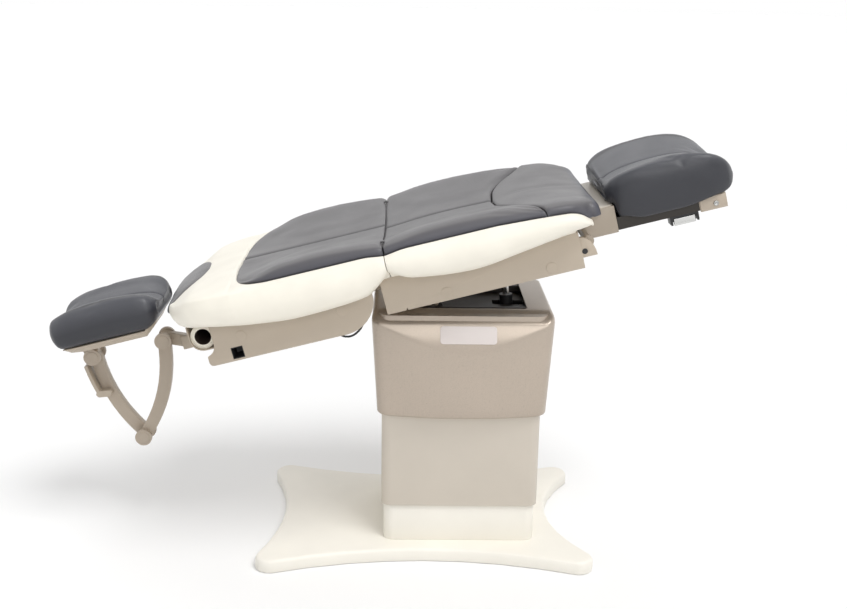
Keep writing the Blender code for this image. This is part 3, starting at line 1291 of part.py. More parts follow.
def foot_box(axis, shift):
    """Open-ended sleeve of the foot extension, with its hinge eyes and the actuator's lug."""
    half = FOOT_BOX_HALF_WIDTH
    wall = FOOT_BOX_WALL
    box = block(FOOT_BOX_START, FOOT_BOX_END, -half, half, FOOT_BOX_BOTTOM, FOOT_BOX_TOP)
    bore = block(
        FOOT_BOX_START + wall, FOOT_BOX_END + wall, -half + wall, half - wall,
        FOOT_BOX_BOTTOM + wall, FOOT_BOX_TOP - wall)
    eye_outer = FRAME_HALF_WIDTH - SHEET - GAP - BRACKET_THICK - SLIDE_GAP
    beam_low = FOOT_BOX_BOTTOM
    beam_top = FOOT_BOX_BOTTOM + 0.030
    pieces = [block(FOOT_BOX_START, FOOT_BOX_START + FOOT_BEAM, -eye_outer, eye_outer, beam_low, beam_top)]
    for side in (1, -1):
        eye = capsule((FOOT_HINGE_U, FOOT_HINGE_W), (FOOT_BOX_START + 0.006, beam_low + 0.014), FOOT_EYE_RADIUS)
        pieces.append(side_plate(eye, eye_outer - 0.020, eye_outer, side))
    y = FOOT_ACTUATOR_Y
    tip = FOOT_TIP
    lug = [(FOOT_BOX_START + 0.008, beam_top), (FOOT_BOX_START - 0.014, beam_top)]
    lug += arc(*tip, LUG_RADIUS, 135, 315, 8) + [(FOOT_BOX_START + 0.008, beam_low)]
    pieces.append(plate(lug, y - LUG_HALF_THICK, y + LUG_HALF_THICK))
    holes = [
        rod_y(FOOT_HINGE_U, FOOT_HINGE_W, FOOT_PIN_RADIUS + PIN_GAP, -0.4, 0.4),
        rod_y(*tip, TRUNNION_RADIUS, y - 0.02, y + 0.02),
    ]
    add_part("foot_box", cut(fuse(cut(box, bore), *pieces), *holes), "beige", axis, shift)


def tray_half():
    """Half width of the sliding tray inside the box."""
    return FOOT_BOX_HALF_WIDTH - FOOT_BOX_WALL - SLIDE_GAP


def foot_tray(axis, shift):
    """Sliding tray: floor and side rails inside the box, end cheeks at the foot, latch housing below."""
    half = tray_half()
    low = FOOT_BOX_BOTTOM + FOOT_BOX_WALL + GAP
    start = FOOT_BOX_START + FOOT_BEAM + 0.002
    end = FOOT_TRAY_END
    wall = FOOT_TRAY_WALL
    body = block(start, end, -half, half, low, FOOT_TRAY_TOP)
    hollow = block(
        start + wall, end - wall, -half + wall, half - wall, low + FOOT_TRAY_FLOOR, FOOT_TRAY_TOP + wall)
    cheeks = [
        side_block(
            end - FOOT_CHEEK_LENGTH, end, half - 0.5 * wall, half + FOOT_CHEEK_OUT,
            low - FOOT_TRAY_FLOOR, FOOT_TRAY_TOP - 0.002, side)
        for side in (1, -1)]
    add_part("foot_tray", fuse(cut(body, hollow), *cheeks), "beige", axis, shift)

    near = -half + FOOT_TRAY_FLOOR
    top = low - GAP
    wall = LATCH_WALL
    housing = block(LATCH_START, LATCH_END, near, near + LATCH_WIDTH, top - LATCH_DROP, top)
    mouth = block(
        LATCH_START + wall, LATCH_END - wall, near - wall, near + LATCH_WIDTH - wall,
        top - LATCH_DROP - wall, top - wall)
    add_part("latch_housing", cut(housing, mouth), "black", axis, shift)


def latch_place():
    """Pivot of the latch paddle: along u, near the top of its housing."""
    low = FOOT_BOX_BOTTOM + FOOT_BOX_WALL
    return (-tray_half() + 0.014, low - 0.5 * LATCH_DROP)


def foot_latch(axis, shift):
    y, w = latch_place()
    ends = (LATCH_START + LATCH_WALL + GAP, LATCH_END - LATCH_WALL - GAP)
    barrel = rod_x(y, w, LATCH_BARREL_RADIUS, *ends, 16)
    half = 0.4 * LATCH_BARREL_RADIUS
    paddle = block(ends[0] + half, ends[1] - half, y - half, y + half, w - LATCH_PADDLE, w)
    add_part("foot_latch", fuse(barrel, paddle), "chrome", axis, shift)


def foot_cushion(axis, shift):
    """Leg pad: two raised lobes, a valley between them, sides hung over the tray, near end over the box."""
    start = FOOT_CUSHION_START
    end = FOOT_CUSHION_END
    low = FOOT_TRAY_TOP + GAP
    over = FOOT_BOX_TOP + 0.005
    step = FOOT_BOX_END + 0.002
    lip = FOOT_BOX_HALF_WIDTH + FOOT_CHEEK_OUT - FOOT_BOX_WALL + 0.002
    bottom = [(start, over + 0.030), (start + 0.008, over), (step, over), (step + 0.002, low)]
    bottom += [(end - d, w) for d, w in FOOT_BOTTOM_END]
    top = [(start + d, w) for d, w in FOOT_TOP_START] + [(end - d, w) for d, w in FOOT_TOP_END]
    width = [(start + d, half) for d, half in FOOT_WIDTH_START] + [(end - d, half) for d, half in FOOT_WIDTH_END]
    hang = [(start + 0.040, 0.0), (start + 0.100, 1.0), (end - 0.110, 1.0), (end - 0.070, 0.0)]
    stations = sorted({u for u, _ in bottom + top + width + hang})
    rings = []
    for u in stations:
        floor = blend_between(bottom, u)
        roll = blend_between(top, u)
        half = blend_between(width, u)
        side = roll - floor
        valley = FOOT_VALLEY * min(1.0, side / (roll - low))
        drop = blend_between(hang, u) * (low - FOOT_CUSHION_SKIRT)
        inner = min(lip, 0.94 * half)
        rings.append(ring_at(u, [
            (0.0, floor), (inner, floor), (inner + GAP, floor - drop + GAP),
            (0.965 * half, floor - drop + 0.05 * side),
            (half, floor + 0.36 * side), (0.982 * half, floor + 0.66 * side),
            (0.902 * half, roll - 0.10 * side), (0.756 * half, roll - 0.01 * side),
            (0.52 * half, roll), (0.28 * half, roll - 0.45 * valley),
            (0.053 * half, roll - 0.93 * valley), (0.0, roll - valley),
        ]))
    add_part("foot_cushion", loft(rings), "grey_vinyl", axis, shift)


# Linear actuators: a cylinder that swings on its trunnions and a rod with an open fork

def actuator(name, frame, base, tip, y, motor_side):
    """Cylinder and rod from base to tip in the parent's x and z plane, in the plane y."""
    reach = math.hypot(tip[0] - base[0], tip[1] - base[1])
    heading = math.atan2(tip[1] - base[1], tip[0] - base[0])
    swing = axis_empty(name + "_swing", (base[0], y, base[1]), frame, -heading)
    slide = axis_empty(name + "_slide", (0.0, 0.0, 0.0), swing)
    length = TUBE_LENGTH[name]
    half = CLEVIS_HALF - SLIDE_GAP
    gearbox = block(-GEARBOX_BACK, GEARBOX_FRONT, -half, half, -GEARBOX_HALF, GEARBOX_HALF)
    tube = rod_x(0.0, 0.0, TUBE_RADIUS, 2.0 * GEARBOX_HALF, length)
    motor_z = motor_side * MOTOR_OFFSET
    motor = rod_x(0.0, motor_z, MOTOR_RADIUS, MOTOR_START, MOTOR_END, 20)
    bridge_half = 0.8 * MOTOR_RADIUS
    bridge_end = GEARBOX_FRONT - CARRIER_INSET
    bridge = block(MOTOR_START, bridge_end, -bridge_half, bridge_half, min(0.0, motor_z), max(0.0, motor_z))
    trunnion_half = CLEVIS_HALF + CLEVIS_THICK
    trunnion = rod_y(0.0, 0.0, TRUNNION_RADIUS, -trunnion_half, trunnion_half)
    bore = rod_x(0.0, 0.0, ROD_RADIUS + SLIDE_GAP, BORE_START, length + BORE_START)
    body = cut(fuse(gearbox, tube, motor, bridge, trunnion), bore)
    add_part(name + "_cylinder", body, "black", swing)

    web = reach - FORK_REACH
    shaft = rod_x(0.0, 0.0, ROD_RADIUS, BORE_START + RETRACT[name] + 0.002, web + 0.25 * FORK_WEB)
    cheek_inner = LUG_HALF_THICK + SLIDE_GAP
    yoke_half = cheek_inner + FORK_CHEEK
    yoke = block(web, web + FORK_WEB, -yoke_half, yoke_half, -LUG_RADIUS, LUG_RADIUS)
    outline = capsule((web + 0.6 * FORK_WEB, 0.0), (reach, 0.0), LUG_RADIUS)
    cheeks = [side_plate(outline, cheek_inner, yoke_half, side) for side in (1, -1)]
    eye = rod_y(reach, 0.0, TRUNNION_RADIUS, -2.0 * yoke_half, 2.0 * yoke_half)
    add_part(name + "_rod", cut(fuse(shaft, yoke, *cheeks), eye), "chrome", slide)


# Assembly

def main():
    for thing in list(bpy.data.objects):
        bpy.data.objects.remove(thing, do_unlink=True)

    root = axis_empty("base", (0.0, 0.0, 0.0))
    column_stage = axis_empty("column_stage_axis", (0.0, 0.0, 0.0), root)
    shroud_stage = axis_empty("shroud_stage_axis", (0.0, 0.0, 0.0), root)
    lift = axis_empty("lift_axis", (0.0, 0.0, 0.0), root)
    base_parts(root)
    lower_shroud(root)
    power_inlet(root)
    column_parts(root, column_stage, lift)
    middle_shroud(shroud_stage)
    upper_shroud(lift)
    label_plate(lift)
    column_head(lift)

    pivot = to_table(TILT_PIVOT_X, TILT_PIVOT_Z)

    def table_axis(name, point, parent, parent_point):
        place = (point[0] - parent_point[0], 0.0, point[1] - parent_point[1])
        return axis_empty(name, place, parent), (-point[0], 0.0, -point[1])

    tilt = axis_empty("tilt_axis", (TILT_PIVOT_X, 0.0, TILT_PIVOT_Z), lift, -TILT)
    tilt_shift = (-pivot[0], 0.0, -pivot[1])
    hinge = (BACK_HINGE_U, BACK_HINGE_W)
    back, back_shift = table_axis("back_axis", hinge, tilt, pivot)
    roll, roll_shift = table_axis("roll_axis", (ROLL_U, ROLL_W), back, hinge)
    bar, bar_shift = table_axis("headrest_slide_axis", (BAR_INNER_END, BAR_TOP), back, hinge)
    upper, upper_shift = table_axis("shoulder_axis", SHOULDER, bar, (BAR_INNER_END, BAR_TOP))
    lower, lower_shift = table_axis("elbow_axis", ELBOW, upper, SHOULDER)
    head, head_shift = table_axis("head_axis", HEAD_PIVOT, lower, ELBOW)
    release, release_shift = table_axis("release_axis", release_pivot(), lower, ELBOW)
    foot_point = (FOOT_HINGE_U, FOOT_HINGE_W)
    foot, foot_shift = table_axis("foot_axis", foot_point, tilt, pivot)
    extension, extension_shift = table_axis("extension_axis", foot_point, foot, foot_point)
    latch_y, latch_w = latch_place()
    latch_start = (LATCH_START, latch_y, latch_w)
    latch = axis_empty("latch_axis", Vector(latch_start) + Vector(extension_shift), extension)
    latch_shift = tuple(-value for value in latch_start)

    seat_frame(tilt, tilt_shift)
    seat_cushions(tilt, tilt_shift)
    back_hinge_pins(tilt, tilt_shift)
    foot_brackets(tilt, tilt_shift)
    back_frame(back, back_shift)
    back_cushions(back, back_shift)
    accessory_sockets(back, back_shift)
    cable_loop(back, back_shift)
    paper_parts(back, back_shift, roll, roll_shift)
    axes = {"bar": bar, "upper": upper, "lower": lower, "head": head, "release": release}
    shifts = {"bar": bar_shift, "upper": upper_shift, "lower": lower_shift, "head": head_shift}
    shifts["release"] = release_shift
    headrest_parts(axes, shifts)
    foot_box(foot, foot_shift)
    foot_tray(extension, extension_shift)
    foot_cushion(extension, extension_shift)
    foot_latch(latch, latch_shift)

    actuator("tilt", lift, TILT_BASE, to_world(*TILT_TIP), 0.0, -1)
    table = axis_empty("table_frame", tilt_shift, tilt)
    actuator("back", table, BACK_BASE, BACK_TIP, BACK_ACTUATOR_Y, 1)
    actuator("foot", table, FOOT_BASE, FOOT_TIP, FOOT_ACTUATOR_Y, -1)


main()
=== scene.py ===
"""Looks of the power procedure table: upholstery, finishes, small fittings, light and camera."""

import json
import math

import bmesh
import bpy
from mathutils import Matrix, Vector


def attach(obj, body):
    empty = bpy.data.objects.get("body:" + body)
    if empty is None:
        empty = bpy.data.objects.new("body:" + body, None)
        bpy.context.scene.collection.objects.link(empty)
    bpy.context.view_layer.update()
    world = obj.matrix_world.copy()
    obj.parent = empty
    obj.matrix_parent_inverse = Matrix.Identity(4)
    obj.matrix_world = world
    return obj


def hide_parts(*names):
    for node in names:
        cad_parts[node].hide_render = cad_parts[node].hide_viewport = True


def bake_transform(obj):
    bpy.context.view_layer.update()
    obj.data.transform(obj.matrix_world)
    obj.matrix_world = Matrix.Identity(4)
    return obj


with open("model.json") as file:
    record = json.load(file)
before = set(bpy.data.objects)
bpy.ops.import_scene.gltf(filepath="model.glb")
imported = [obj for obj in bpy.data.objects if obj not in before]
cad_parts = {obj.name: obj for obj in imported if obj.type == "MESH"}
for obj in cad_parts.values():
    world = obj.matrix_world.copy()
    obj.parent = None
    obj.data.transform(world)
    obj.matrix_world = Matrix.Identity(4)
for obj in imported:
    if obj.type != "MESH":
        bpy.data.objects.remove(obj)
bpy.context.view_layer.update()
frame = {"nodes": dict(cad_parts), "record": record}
nodes = frame["nodes"]
slot_of = {part["node"]: part["material_slot"] for part in frame["record"]["subparts"]}
body_of = {name: body for body, members in frame["record"]["behaviour"]["bodies"].items() for name in members}

# The table top has its own frame (u along the table, y across, w square to the deck)
TILT = math.radians(14.5)
TABLE_HEIGHT = 0.843
TABLE = Matrix.Translation((0.0, 0.0, TABLE_HEIGHT)) @ Matrix.Rotation(-TILT, 4, "Y")

# Cushions, in metres in the table frame
BOLSTER_HALF_WIDTH = 0.392
PAD_HALF_WIDTH = 0.366
FRAME_HALF_WIDTH = 0.300
DECK_TOP = 0.1043

# Grey pads: underside, side seam, top of the side roll, sewn centre crease
PAD_BASE = 0.166
PAD_SEAM = 0.192
PAD_ROLL = 0.225
PAD_CREASE = 0.189
CREASE_FOLLOW = 0.65
CAP_RIM = 0.0008

# Where the cushions start and end along the table
SEAT_START = -0.1885
SEAT_BOLSTER_END = 0.385
SEAT_PAD_END = 0.415
BACK_START = -0.1915
BACK_BOLSTER_END = -0.858
BACK_PAD_END = -0.632
BACK_CORNER = 0.110
WHITE_SEAT_START = -0.1898
WHITE_BACK_START = -0.1902
HEADREST_HEAD = -1.241
HEADREST_FOOT = -0.904
FOOT_START = 0.450
FOOT_END = 0.820

# Hinge between seat and back, and how the cushions draw in towards it
HINGE_U = -0.190
HINGE_W = 0.2005
HINGE_SLOPE = 1.25
HINGE_SOFT = 0.004
HINGE_ROUND = 0.014
HINGE_INSET = 0.005
WHITE_HINGE_ROUND = 0.030
WHITE_HINGE_INSET = 0.004
HINGE_TIPS = 0.186

# Foot end of the seat: room over the foot section's box, low point of the rounded nose
SEAT_FOOT_END = 0.342
BOX_CLEAR_W = 0.138
BOX_CLEAR_Y = 0.217
NOSE_LOW = 0.122

# Cloth runs that fill the cushions
FILL_STEPS = 20
PAD_PRESSURE = 3.0
BOLSTER_PRESSURE = 2.0

# Hard pieces keep a crisp edge from this angle on
CRISP_ANGLE = math.radians(38.0)


# Colours and node helpers

def paint(red, green, blue):
    """Linear colour from 0 to 255 display values."""
    shares = [value / 255.0 for value in (red, green, blue)]
    return [s / 12.92 if s <= 0.04045 else ((s + 0.055) / 1.055) ** 2.4 for s in shares] + [1.0]


def darker(colour, share):
    """The same colour with a share of its light."""
    return [share * value for value in colour[:3]] + [1.0]


def put(tree, kind, values=None, **settings):
    """Adds a shader node, sets its properties and the values of its named inputs."""
    made = tree.nodes.new(kind)
    for key, value in settings.items():
        setattr(made, key, value)
    for key, value in (values or {}).items():
        made.inputs[key].default_value = value
    return made


HEIGHT_AND_TONE = [("Height", "NodeSocketFloat"), ("Tone", "NodeSocketFloat")]


def new_group(name, inputs, outputs):
    """Empty shader node group with named sockets."""
    group = bpy.data.node_groups.new(name, "ShaderNodeTree")
    for label, kind, start in inputs:
        socket = group.interface.new_socket(label, in_out="INPUT", socket_type=kind)
        if start is not None:
            socket.default_value = start
    for label, kind in outputs:
        group.interface.new_socket(label, in_out="OUTPUT", socket_type=kind)
    return group, group.nodes.new("NodeGroupInput"), group.nodes.new("NodeGroupOutput")


def hide_grain():
    """Pebbled skin of upholstery vinyl: Height for bump, Tone for patches that differ a little."""
    group, given, out = new_group(
        "hide_grain",
        [("Vector", "NodeSocketVector", None), ("Pebble", "NodeSocketFloat", 420.0)],
        HEIGHT_AND_TONE)
    link = group.links.new
    cells = put(group, "ShaderNodeTexVoronoi", feature="DISTANCE_TO_EDGE")
    link(given.outputs["Vector"], cells.inputs["Vector"])
    link(given.outputs["Pebble"], cells.inputs["Scale"])
    rounded = put(group, "ShaderNodeMapRange", {"From Max": 0.35}, interpolation_type="SMOOTHSTEP")
    link(cells.outputs["Distance"], rounded.inputs["Value"])
    waves = put(group, "ShaderNodeTexNoise", {"Scale": 9.0, "Detail": 3.0, "Roughness": 0.5})
    link(given.outputs["Vector"], waves.inputs["Vector"])
    fine = put(group, "ShaderNodeTexNoise", {"Scale": 900.0, "Detail": 2.0})
    link(given.outputs["Vector"], fine.inputs["Vector"])
    added = put(group, "ShaderNodeMath", {1: 0.35}, operation="MULTIPLY_ADD")
    link(fine.outputs["Fac"], added.inputs[0])
    link(rounded.outputs["Result"], added.inputs[2])
    link(added.outputs["Value"], out.inputs["Height"])
    link(waves.outputs["Fac"], out.inputs["Tone"])
    return group


def coat_speckle():
    """Orange-peel surface of a sprayed or moulded finish: Height for bump, Tone for faint cloudiness."""
    group, given, out = new_group(
        "coat_speckle",
        [("Vector", "NodeSocketVector", None), ("Speckle", "NodeSocketFloat", 700.0)],
        HEIGHT_AND_TONE)
    link = group.links.new
    peel = put(group, "ShaderNodeTexNoise", {"Detail": 2.0, "Roughness": 0.6})
    link(given.outputs["Vector"], peel.inputs["Vector"])
    link(given.outputs["Speckle"], peel.inputs["Scale"])
    cloud = put(group, "ShaderNodeTexNoise", {"Scale": 4.5, "Detail": 4.0, "Roughness": 0.55})
    link(given.outputs["Vector"], cloud.inputs["Vector"])
    link(peel.outputs["Fac"], out.inputs["Height"])
    link(cloud.outputs["Fac"], out.inputs["Tone"])
    return group


def drawn_lines():
    """Fine lines along one direction, as on drawn or brushed metal: Height and Tone."""
    group, given, out = new_group(
        "drawn_lines",
        [("Vector", "NodeSocketVector", None), ("Stretch", "NodeSocketVector", (400.0, 400.0, 8.0))],
        HEIGHT_AND_TONE)
    link = group.links.new
    scaled = put(group, "ShaderNodeVectorMath", operation="MULTIPLY")
    link(given.outputs["Vector"], scaled.inputs[0])
    link(given.outputs["Stretch"], scaled.inputs[1])
    lines = put(group, "ShaderNodeTexNoise", {"Scale": 1.0, "Detail": 3.0, "Roughness": 0.6})
    link(scaled.outputs["Vector"], lines.inputs["Vector"])
    link(lines.outputs["Fac"], out.inputs["Height"])
    link(lines.outputs["Fac"], out.inputs["Tone"])
    return group


GRAIN = hide_grain()
SPECKLE = coat_speckle()
LINES = drawn_lines()


def start_material(name):
    """New material, its node tree and its Principled shader."""
    made = bpy.data.materials.new(name)
    made.use_nodes = True
    tree = made.node_tree
    return made, tree, tree.nodes["Principled BSDF"]


def place_group(tree, group, **values):
    """Node of a shared group, fed with Object coordinates."""
    where = put(tree, "ShaderNodeTexCoord")
    made = put(tree, "ShaderNodeGroup", node_tree=group)
    tree.links.new(where.outputs["Object"], made.inputs["Vector"])
    for key, value in values.items():
        made.inputs[key].default_value = value
    return made


def mixed(tree, factor, low, high):
    """Colour between low and high, each a colour or a socket."""
    made = put(tree, "ShaderNodeMix", data_type="RGBA")
    tree.links.new(factor, made.inputs["Factor"])
    for value, socket in ((low, made.inputs[6]), (high, made.inputs[7])):
        if isinstance(value, bpy.types.NodeSocket):
            tree.links.new(value, socket)
        else:
            socket.default_value = value
    return made.outputs[2]


def spread(tree, value, low, high, start=0.3, end=0.7):
    """Value from low to high while the socket runs from start to end."""
    made = put(tree, "ShaderNodeMapRange", {"From Min": start, "From Max": end, "To Min": low, "To Max": high})
    tree.links.new(value, made.inputs["Value"])
    return made.outputs["Result"]


def bumped(tree, shader, height, strength, distance):
    """Feeds a shader's normal from a height."""
    made = put(tree, "ShaderNodeBump", {"Strength": strength, "Distance": distance})
    tree.links.new(height, made.inputs["Height"])
    tree.links.new(made.outputs["Normal"], shader.inputs["Normal"])


def vinyl(name, top, side, pebble, rough, seam_and_shade_colour):
    """Upholstery vinyl in two tones of one vinyl: a lighter top for a painted sheen and darker sides as painted
    shade by the piece's side mask; a dark line by its seam mask, partly the seam's own dark and partly painted shade
    in the crease.
    """
    made, tree, shader = start_material(name)
    link = tree.links.new
    grain = place_group(tree, GRAIN, Pebble=pebble)
    side_shade = put(tree, "ShaderNodeAttribute", attribute_name="side")
    sewn = put(tree, "ShaderNodeAttribute", attribute_name="seam")
    # Painted light: the top colour carries the sheen on top, the side colour the shade on the sides
    plain = mixed(tree, side_shade.outputs["Fac"], top, side)
    patch = mixed(tree, side_shade.outputs["Fac"], darker(top, 0.93), darker(side, 0.93))
    cloudy = mixed(tree, spread(tree, grain.outputs["Tone"], 0.0, 1.0), plain, patch)
    # Seam line: the seam's own dark together with painted shade in the crease
    line = mixed(tree, sewn.outputs["Fac"], cloudy, seam_and_shade_colour)
    link(line, shader.inputs["Base Color"])
    link(spread(tree, grain.outputs["Tone"], rough - 0.04, rough + 0.05), shader.inputs["Roughness"])
    bumped(tree, shader, grain.outputs["Height"], 0.35, 0.0003)
    return made


def sprayed(name, colour, speckle, rough, metallic=0.0, bump=0.15):
    """Sprayed or moulded finish: faint clouds in the colour, orange peel in the surface."""
    made, tree, shader = start_material(name)
    peel = place_group(tree, SPECKLE, Speckle=speckle)
    tone = spread(tree, peel.outputs["Tone"], 0.0, 1.0)
    tree.links.new(mixed(tree, tone, colour, darker(colour, 0.95)), shader.inputs["Base Color"])
    tree.links.new(spread(tree, peel.outputs["Height"], rough - 0.03, rough + 0.04), shader.inputs["Roughness"])
    shader.inputs["Metallic"].default_value = metallic
    bumped(tree, shader, peel.outputs["Height"], bump, 0.0002)
    return made


def drawn_metal(name, colour, rough, stretch):
    """Bare metal with fine lines from drawing or grinding."""
    made, tree, shader = start_material(name)
    lines = place_group(tree, LINES, Stretch=stretch)
    tree.links.new(mixed(tree, lines.outputs["Tone"], colour, darker(colour, 0.88)), shader.inputs["Base Color"])
    tree.links.new(spread(tree, lines.outputs["Tone"], rough - 0.05, rough + 0.07), shader.inputs["Roughness"])
    shader.inputs["Metallic"].default_value = 1.0
    bumped(tree, shader, lines.outputs["Height"], 0.06, 0.0002)
    return made


# Paper roll: its axis in the table frame, radius of the open core, turns of the winding
ROLL_AXIS = (-0.754, 0.0, 0.057)
ROLL_CORE = 0.0236
ROLL_WINDING = 5200.0


def table_paper():
    """Wound paper: fibre on the outside, fine rings of the winding on the ends, a dark disc of painted shade in the
    open core.
    """
    made, tree, shader = start_material("table_paper")
    link = tree.links.new
    where = put(tree, "ShaderNodeTexCoord")
    centre = TABLE @ Vector(ROLL_AXIS)
    shift = put(tree, "ShaderNodeVectorMath", operation="SUBTRACT")
    shift.inputs[1].default_value = centre
    link(where.outputs["Object"], shift.inputs[0])
    flat = put(tree, "ShaderNodeVectorMath", operation="MULTIPLY")
    flat.inputs[1].default_value = (1.0, 0.0, 1.0)
    link(shift.outputs["Vector"], flat.inputs[0])
    radius = put(tree, "ShaderNodeVectorMath", operation="LENGTH")
    link(flat.outputs["Vector"], radius.inputs[0])
    turns = put(tree, "ShaderNodeMath", {1: ROLL_WINDING}, operation="MULTIPLY")
    link(radius.outputs["Value"], turns.inputs[0])
    rings = put(tree, "ShaderNodeMath", operation="SINE")
    link(turns.outputs["Value"], rings.inputs[0])
    fibre = place_group(tree, SPECKLE, Speckle=260.0)
    both = put(tree, "ShaderNodeMath", {1: 0.25}, operation="MULTIPLY_ADD")
    link(rings.outputs["Value"], both.inputs[0])
    link(fibre.outputs["Height"], both.inputs[2])
    tone = spread(tree, both.outputs["Value"], 0.0, 1.0)
    wound = mixed(tree, tone, paint(233, 226, 209), paint(243, 238, 225))
    # Inside the core's radius the ends are dark brown: painted shade of the hollow core
    core = put(tree, "ShaderNodeMath", {1: ROLL_CORE}, operation="LESS_THAN")
    link(radius.outputs["Value"], core.inputs[0])
    link(mixed(tree, core.outputs["Value"], wound, paint(52, 40, 33)), shader.inputs["Base Color"])
    link(spread(tree, fibre.outputs["Tone"], 0.78, 0.9), shader.inputs["Roughness"])
    bumped(tree, shader, both.outputs["Value"], 0.2, 0.0003)
    return made


WHITE = paint(250, 245, 232)
PAD_GREY = paint(93, 91, 93)
COAT_BEIGE = paint(187, 174, 157)
FINISH = {
    "off_white": sprayed("moulded_off_white", paint(247, 243, 233), 520.0, 0.42),
    "beige": sprayed("moulded_beige", paint(212, 203, 190), 520.0, 0.40),
    "taupe_metal": sprayed("satin_taupe", paint(184, 171, 157), 900.0, 0.29, 0.40, 0.015),
    "frame_beige": sprayed("powder_coat_beige", COAT_BEIGE, 800.0, 0.36),
    "white_vinyl": vinyl("white_vinyl", WHITE, WHITE, 520.0, 0.40, paint(196, 190, 178)),
    # Grey vinyl: lighter top as painted sheen, darker sides as painted shade, dark seam colour partly painted shade
    # of the crease
    "grey_vinyl": vinyl("grey_vinyl", PAD_GREY, paint(77, 77, 85), 460.0, 0.36, paint(34, 34, 38)),
    "steel": drawn_metal("rolled_steel", paint(176, 176, 174), 0.36, (380.0, 380.0, 10.0)),
    "chrome": drawn_metal("ground_chrome", paint(214, 214, 212), 0.16, (14.0, 420.0, 420.0)),
    "black": sprayed("moulded_black", paint(34, 34, 36), 620.0, 0.42),
    "cable": sprayed("rubber_cable", paint(30, 30, 32), 900.0, 0.55),
    "paper": table_paper(),
}
# Slate vinyl of headrest and foot cushions: lighter top as painted sheen, darker sides as painted shade
DARK_VINYL = vinyl("slate_vinyl", paint(74, 75, 81), paint(49, 50, 56), 460.0, 0.36, paint(28, 28, 32))


def two_tone(made, direction, limit, colour):
    """Second colour of a finish beyond a place along a direction of the table frame."""
    tree = made.node_tree
    colour_in = tree.nodes["Principled BSDF"].inputs["Base Color"]
    plain = colour_in.links[0].from_socket
    along = TABLE.to_3x3() @ Vector(direction)
    where = put(tree, "ShaderNodeTexCoord")
    place = put(tree, "ShaderNodeVectorMath", operation="DOT_PRODUCT")
    place.inputs[1].default_value = along
    tree.links.new(where.outputs["Object"], place.inputs[0])
    beyond = put(tree, "ShaderNodeMath", {1: limit + along.dot(TABLE.translation)}, operation="GREATER_THAN")
    tree.links.new(place.outputs["Value"], beyond.inputs[0])
    tree.links.new(mixed(tree, beyond.outputs["Value"], plain, colour), colour_in)
    return made


TRAY_END = 0.7035
FRAME_PAINT = two_tone(
    sprayed("frame_powder_coat", COAT_BEIGE, 800.0, 0.36), (0.0, 0.0, 1.0), HINGE_TIPS, PAD_GREY)
DRUM_PAINT = sprayed("drum_paint", paint(180, 167, 151), 700.0, 0.38)
OWN_FINISH = {
    "seat_frame": FRAME_PAINT,
    "back_frame": FRAME_PAINT,
    # Column head near black: painted shadow inside the shroud's opening
    "column_head": sprayed("painted_shadow_steel", paint(46, 42, 39), 900.0, 0.5, 0.4),
    # Foot tray near black up to its end brackets: painted shade under the cushion
    "foot_tray": two_tone(
        sprayed("tray_painted_shade", paint(42, 36, 30), 800.0, 0.42), (1.0, 0.0, 0.0), TRAY_END, paint(182, 169, 153)),
    # Foot box a darker beige: painted shade of its near face
    "foot_box": sprayed("box_painted_shade", paint(168, 156, 141), 800.0, 0.36),
    "headrest_bar": FINISH["frame_beige"],
    "headrest_shoulder_pin": DRUM_PAINT,
    "headrest_elbow_pin": DRUM_PAINT,
    "headrest_head_pin": DRUM_PAINT,
    "headrest_upper_link": DRUM_PAINT,
    "headrest_lower_link": DRUM_PAINT,
    # Foot hinge pin black: painted shade of the hole in the bracket
    "foot_hinge_pin": FINISH["black"],
}


def finish_of(node_name):
    """Finish of a solid: its own, or else that of its slot."""
    return OWN_FINISH.get(node_name, FINISH[slot_of[node_name]])


for node_name, node in nodes.items():
    node.data.materials.clear()
    node.data.materials.append(finish_of(node_name))


# Shared shaping helpers

def eased(knots, x):
    """Smooth value at x through (x, value) knots, without overshoot."""
    knots = sorted(knots)
    if x <= knots[0][0]:
        return knots[0][1]
    if x >= knots[-1][0]:
        return knots[-1][1]
    slopes = [(b[1] - a[1]) / (b[0] - a[0]) for a, b in zip(knots, knots[1:])]
    tangents = [slopes[0]]
    for before, after in zip(slopes, slopes[1:]):
        tangents.append(0.0 if before * after <= 0.0 else 2.0 * before * after / (before + after))
    tangents.append(slopes[-1])
    at = next(i for i in range(len(slopes)) if x <= knots[i + 1][0])
    (x0, v0), (x1, v1) = knots[at], knots[at + 1]
    run = x1 - x0
    t = (x - x0) / run
    rise = t * t * (3.0 - 2.0 * t)
    lead = run * (tangents[at] * t * (1.0 - t) ** 2 - tangents[at + 1] * t * t * (1.0 - t))
    return v0 + (v1 - v0) * rise + lead


def quarter_drop(share, depth):
    """Fall of a rounded edge: 0 where the rounding starts, depth where it ends."""
    share = min(max(share, 0.0), 1.0)
    return depth * (1.0 - math.sqrt(1.0 - share * share))


def shallow_drop(share, depth):
    """Fall towards a shallow crease: 0 where it starts, depth where it ends, never steep."""
    share = min(max(share, 0.0), 1.0)
    return depth * share * share


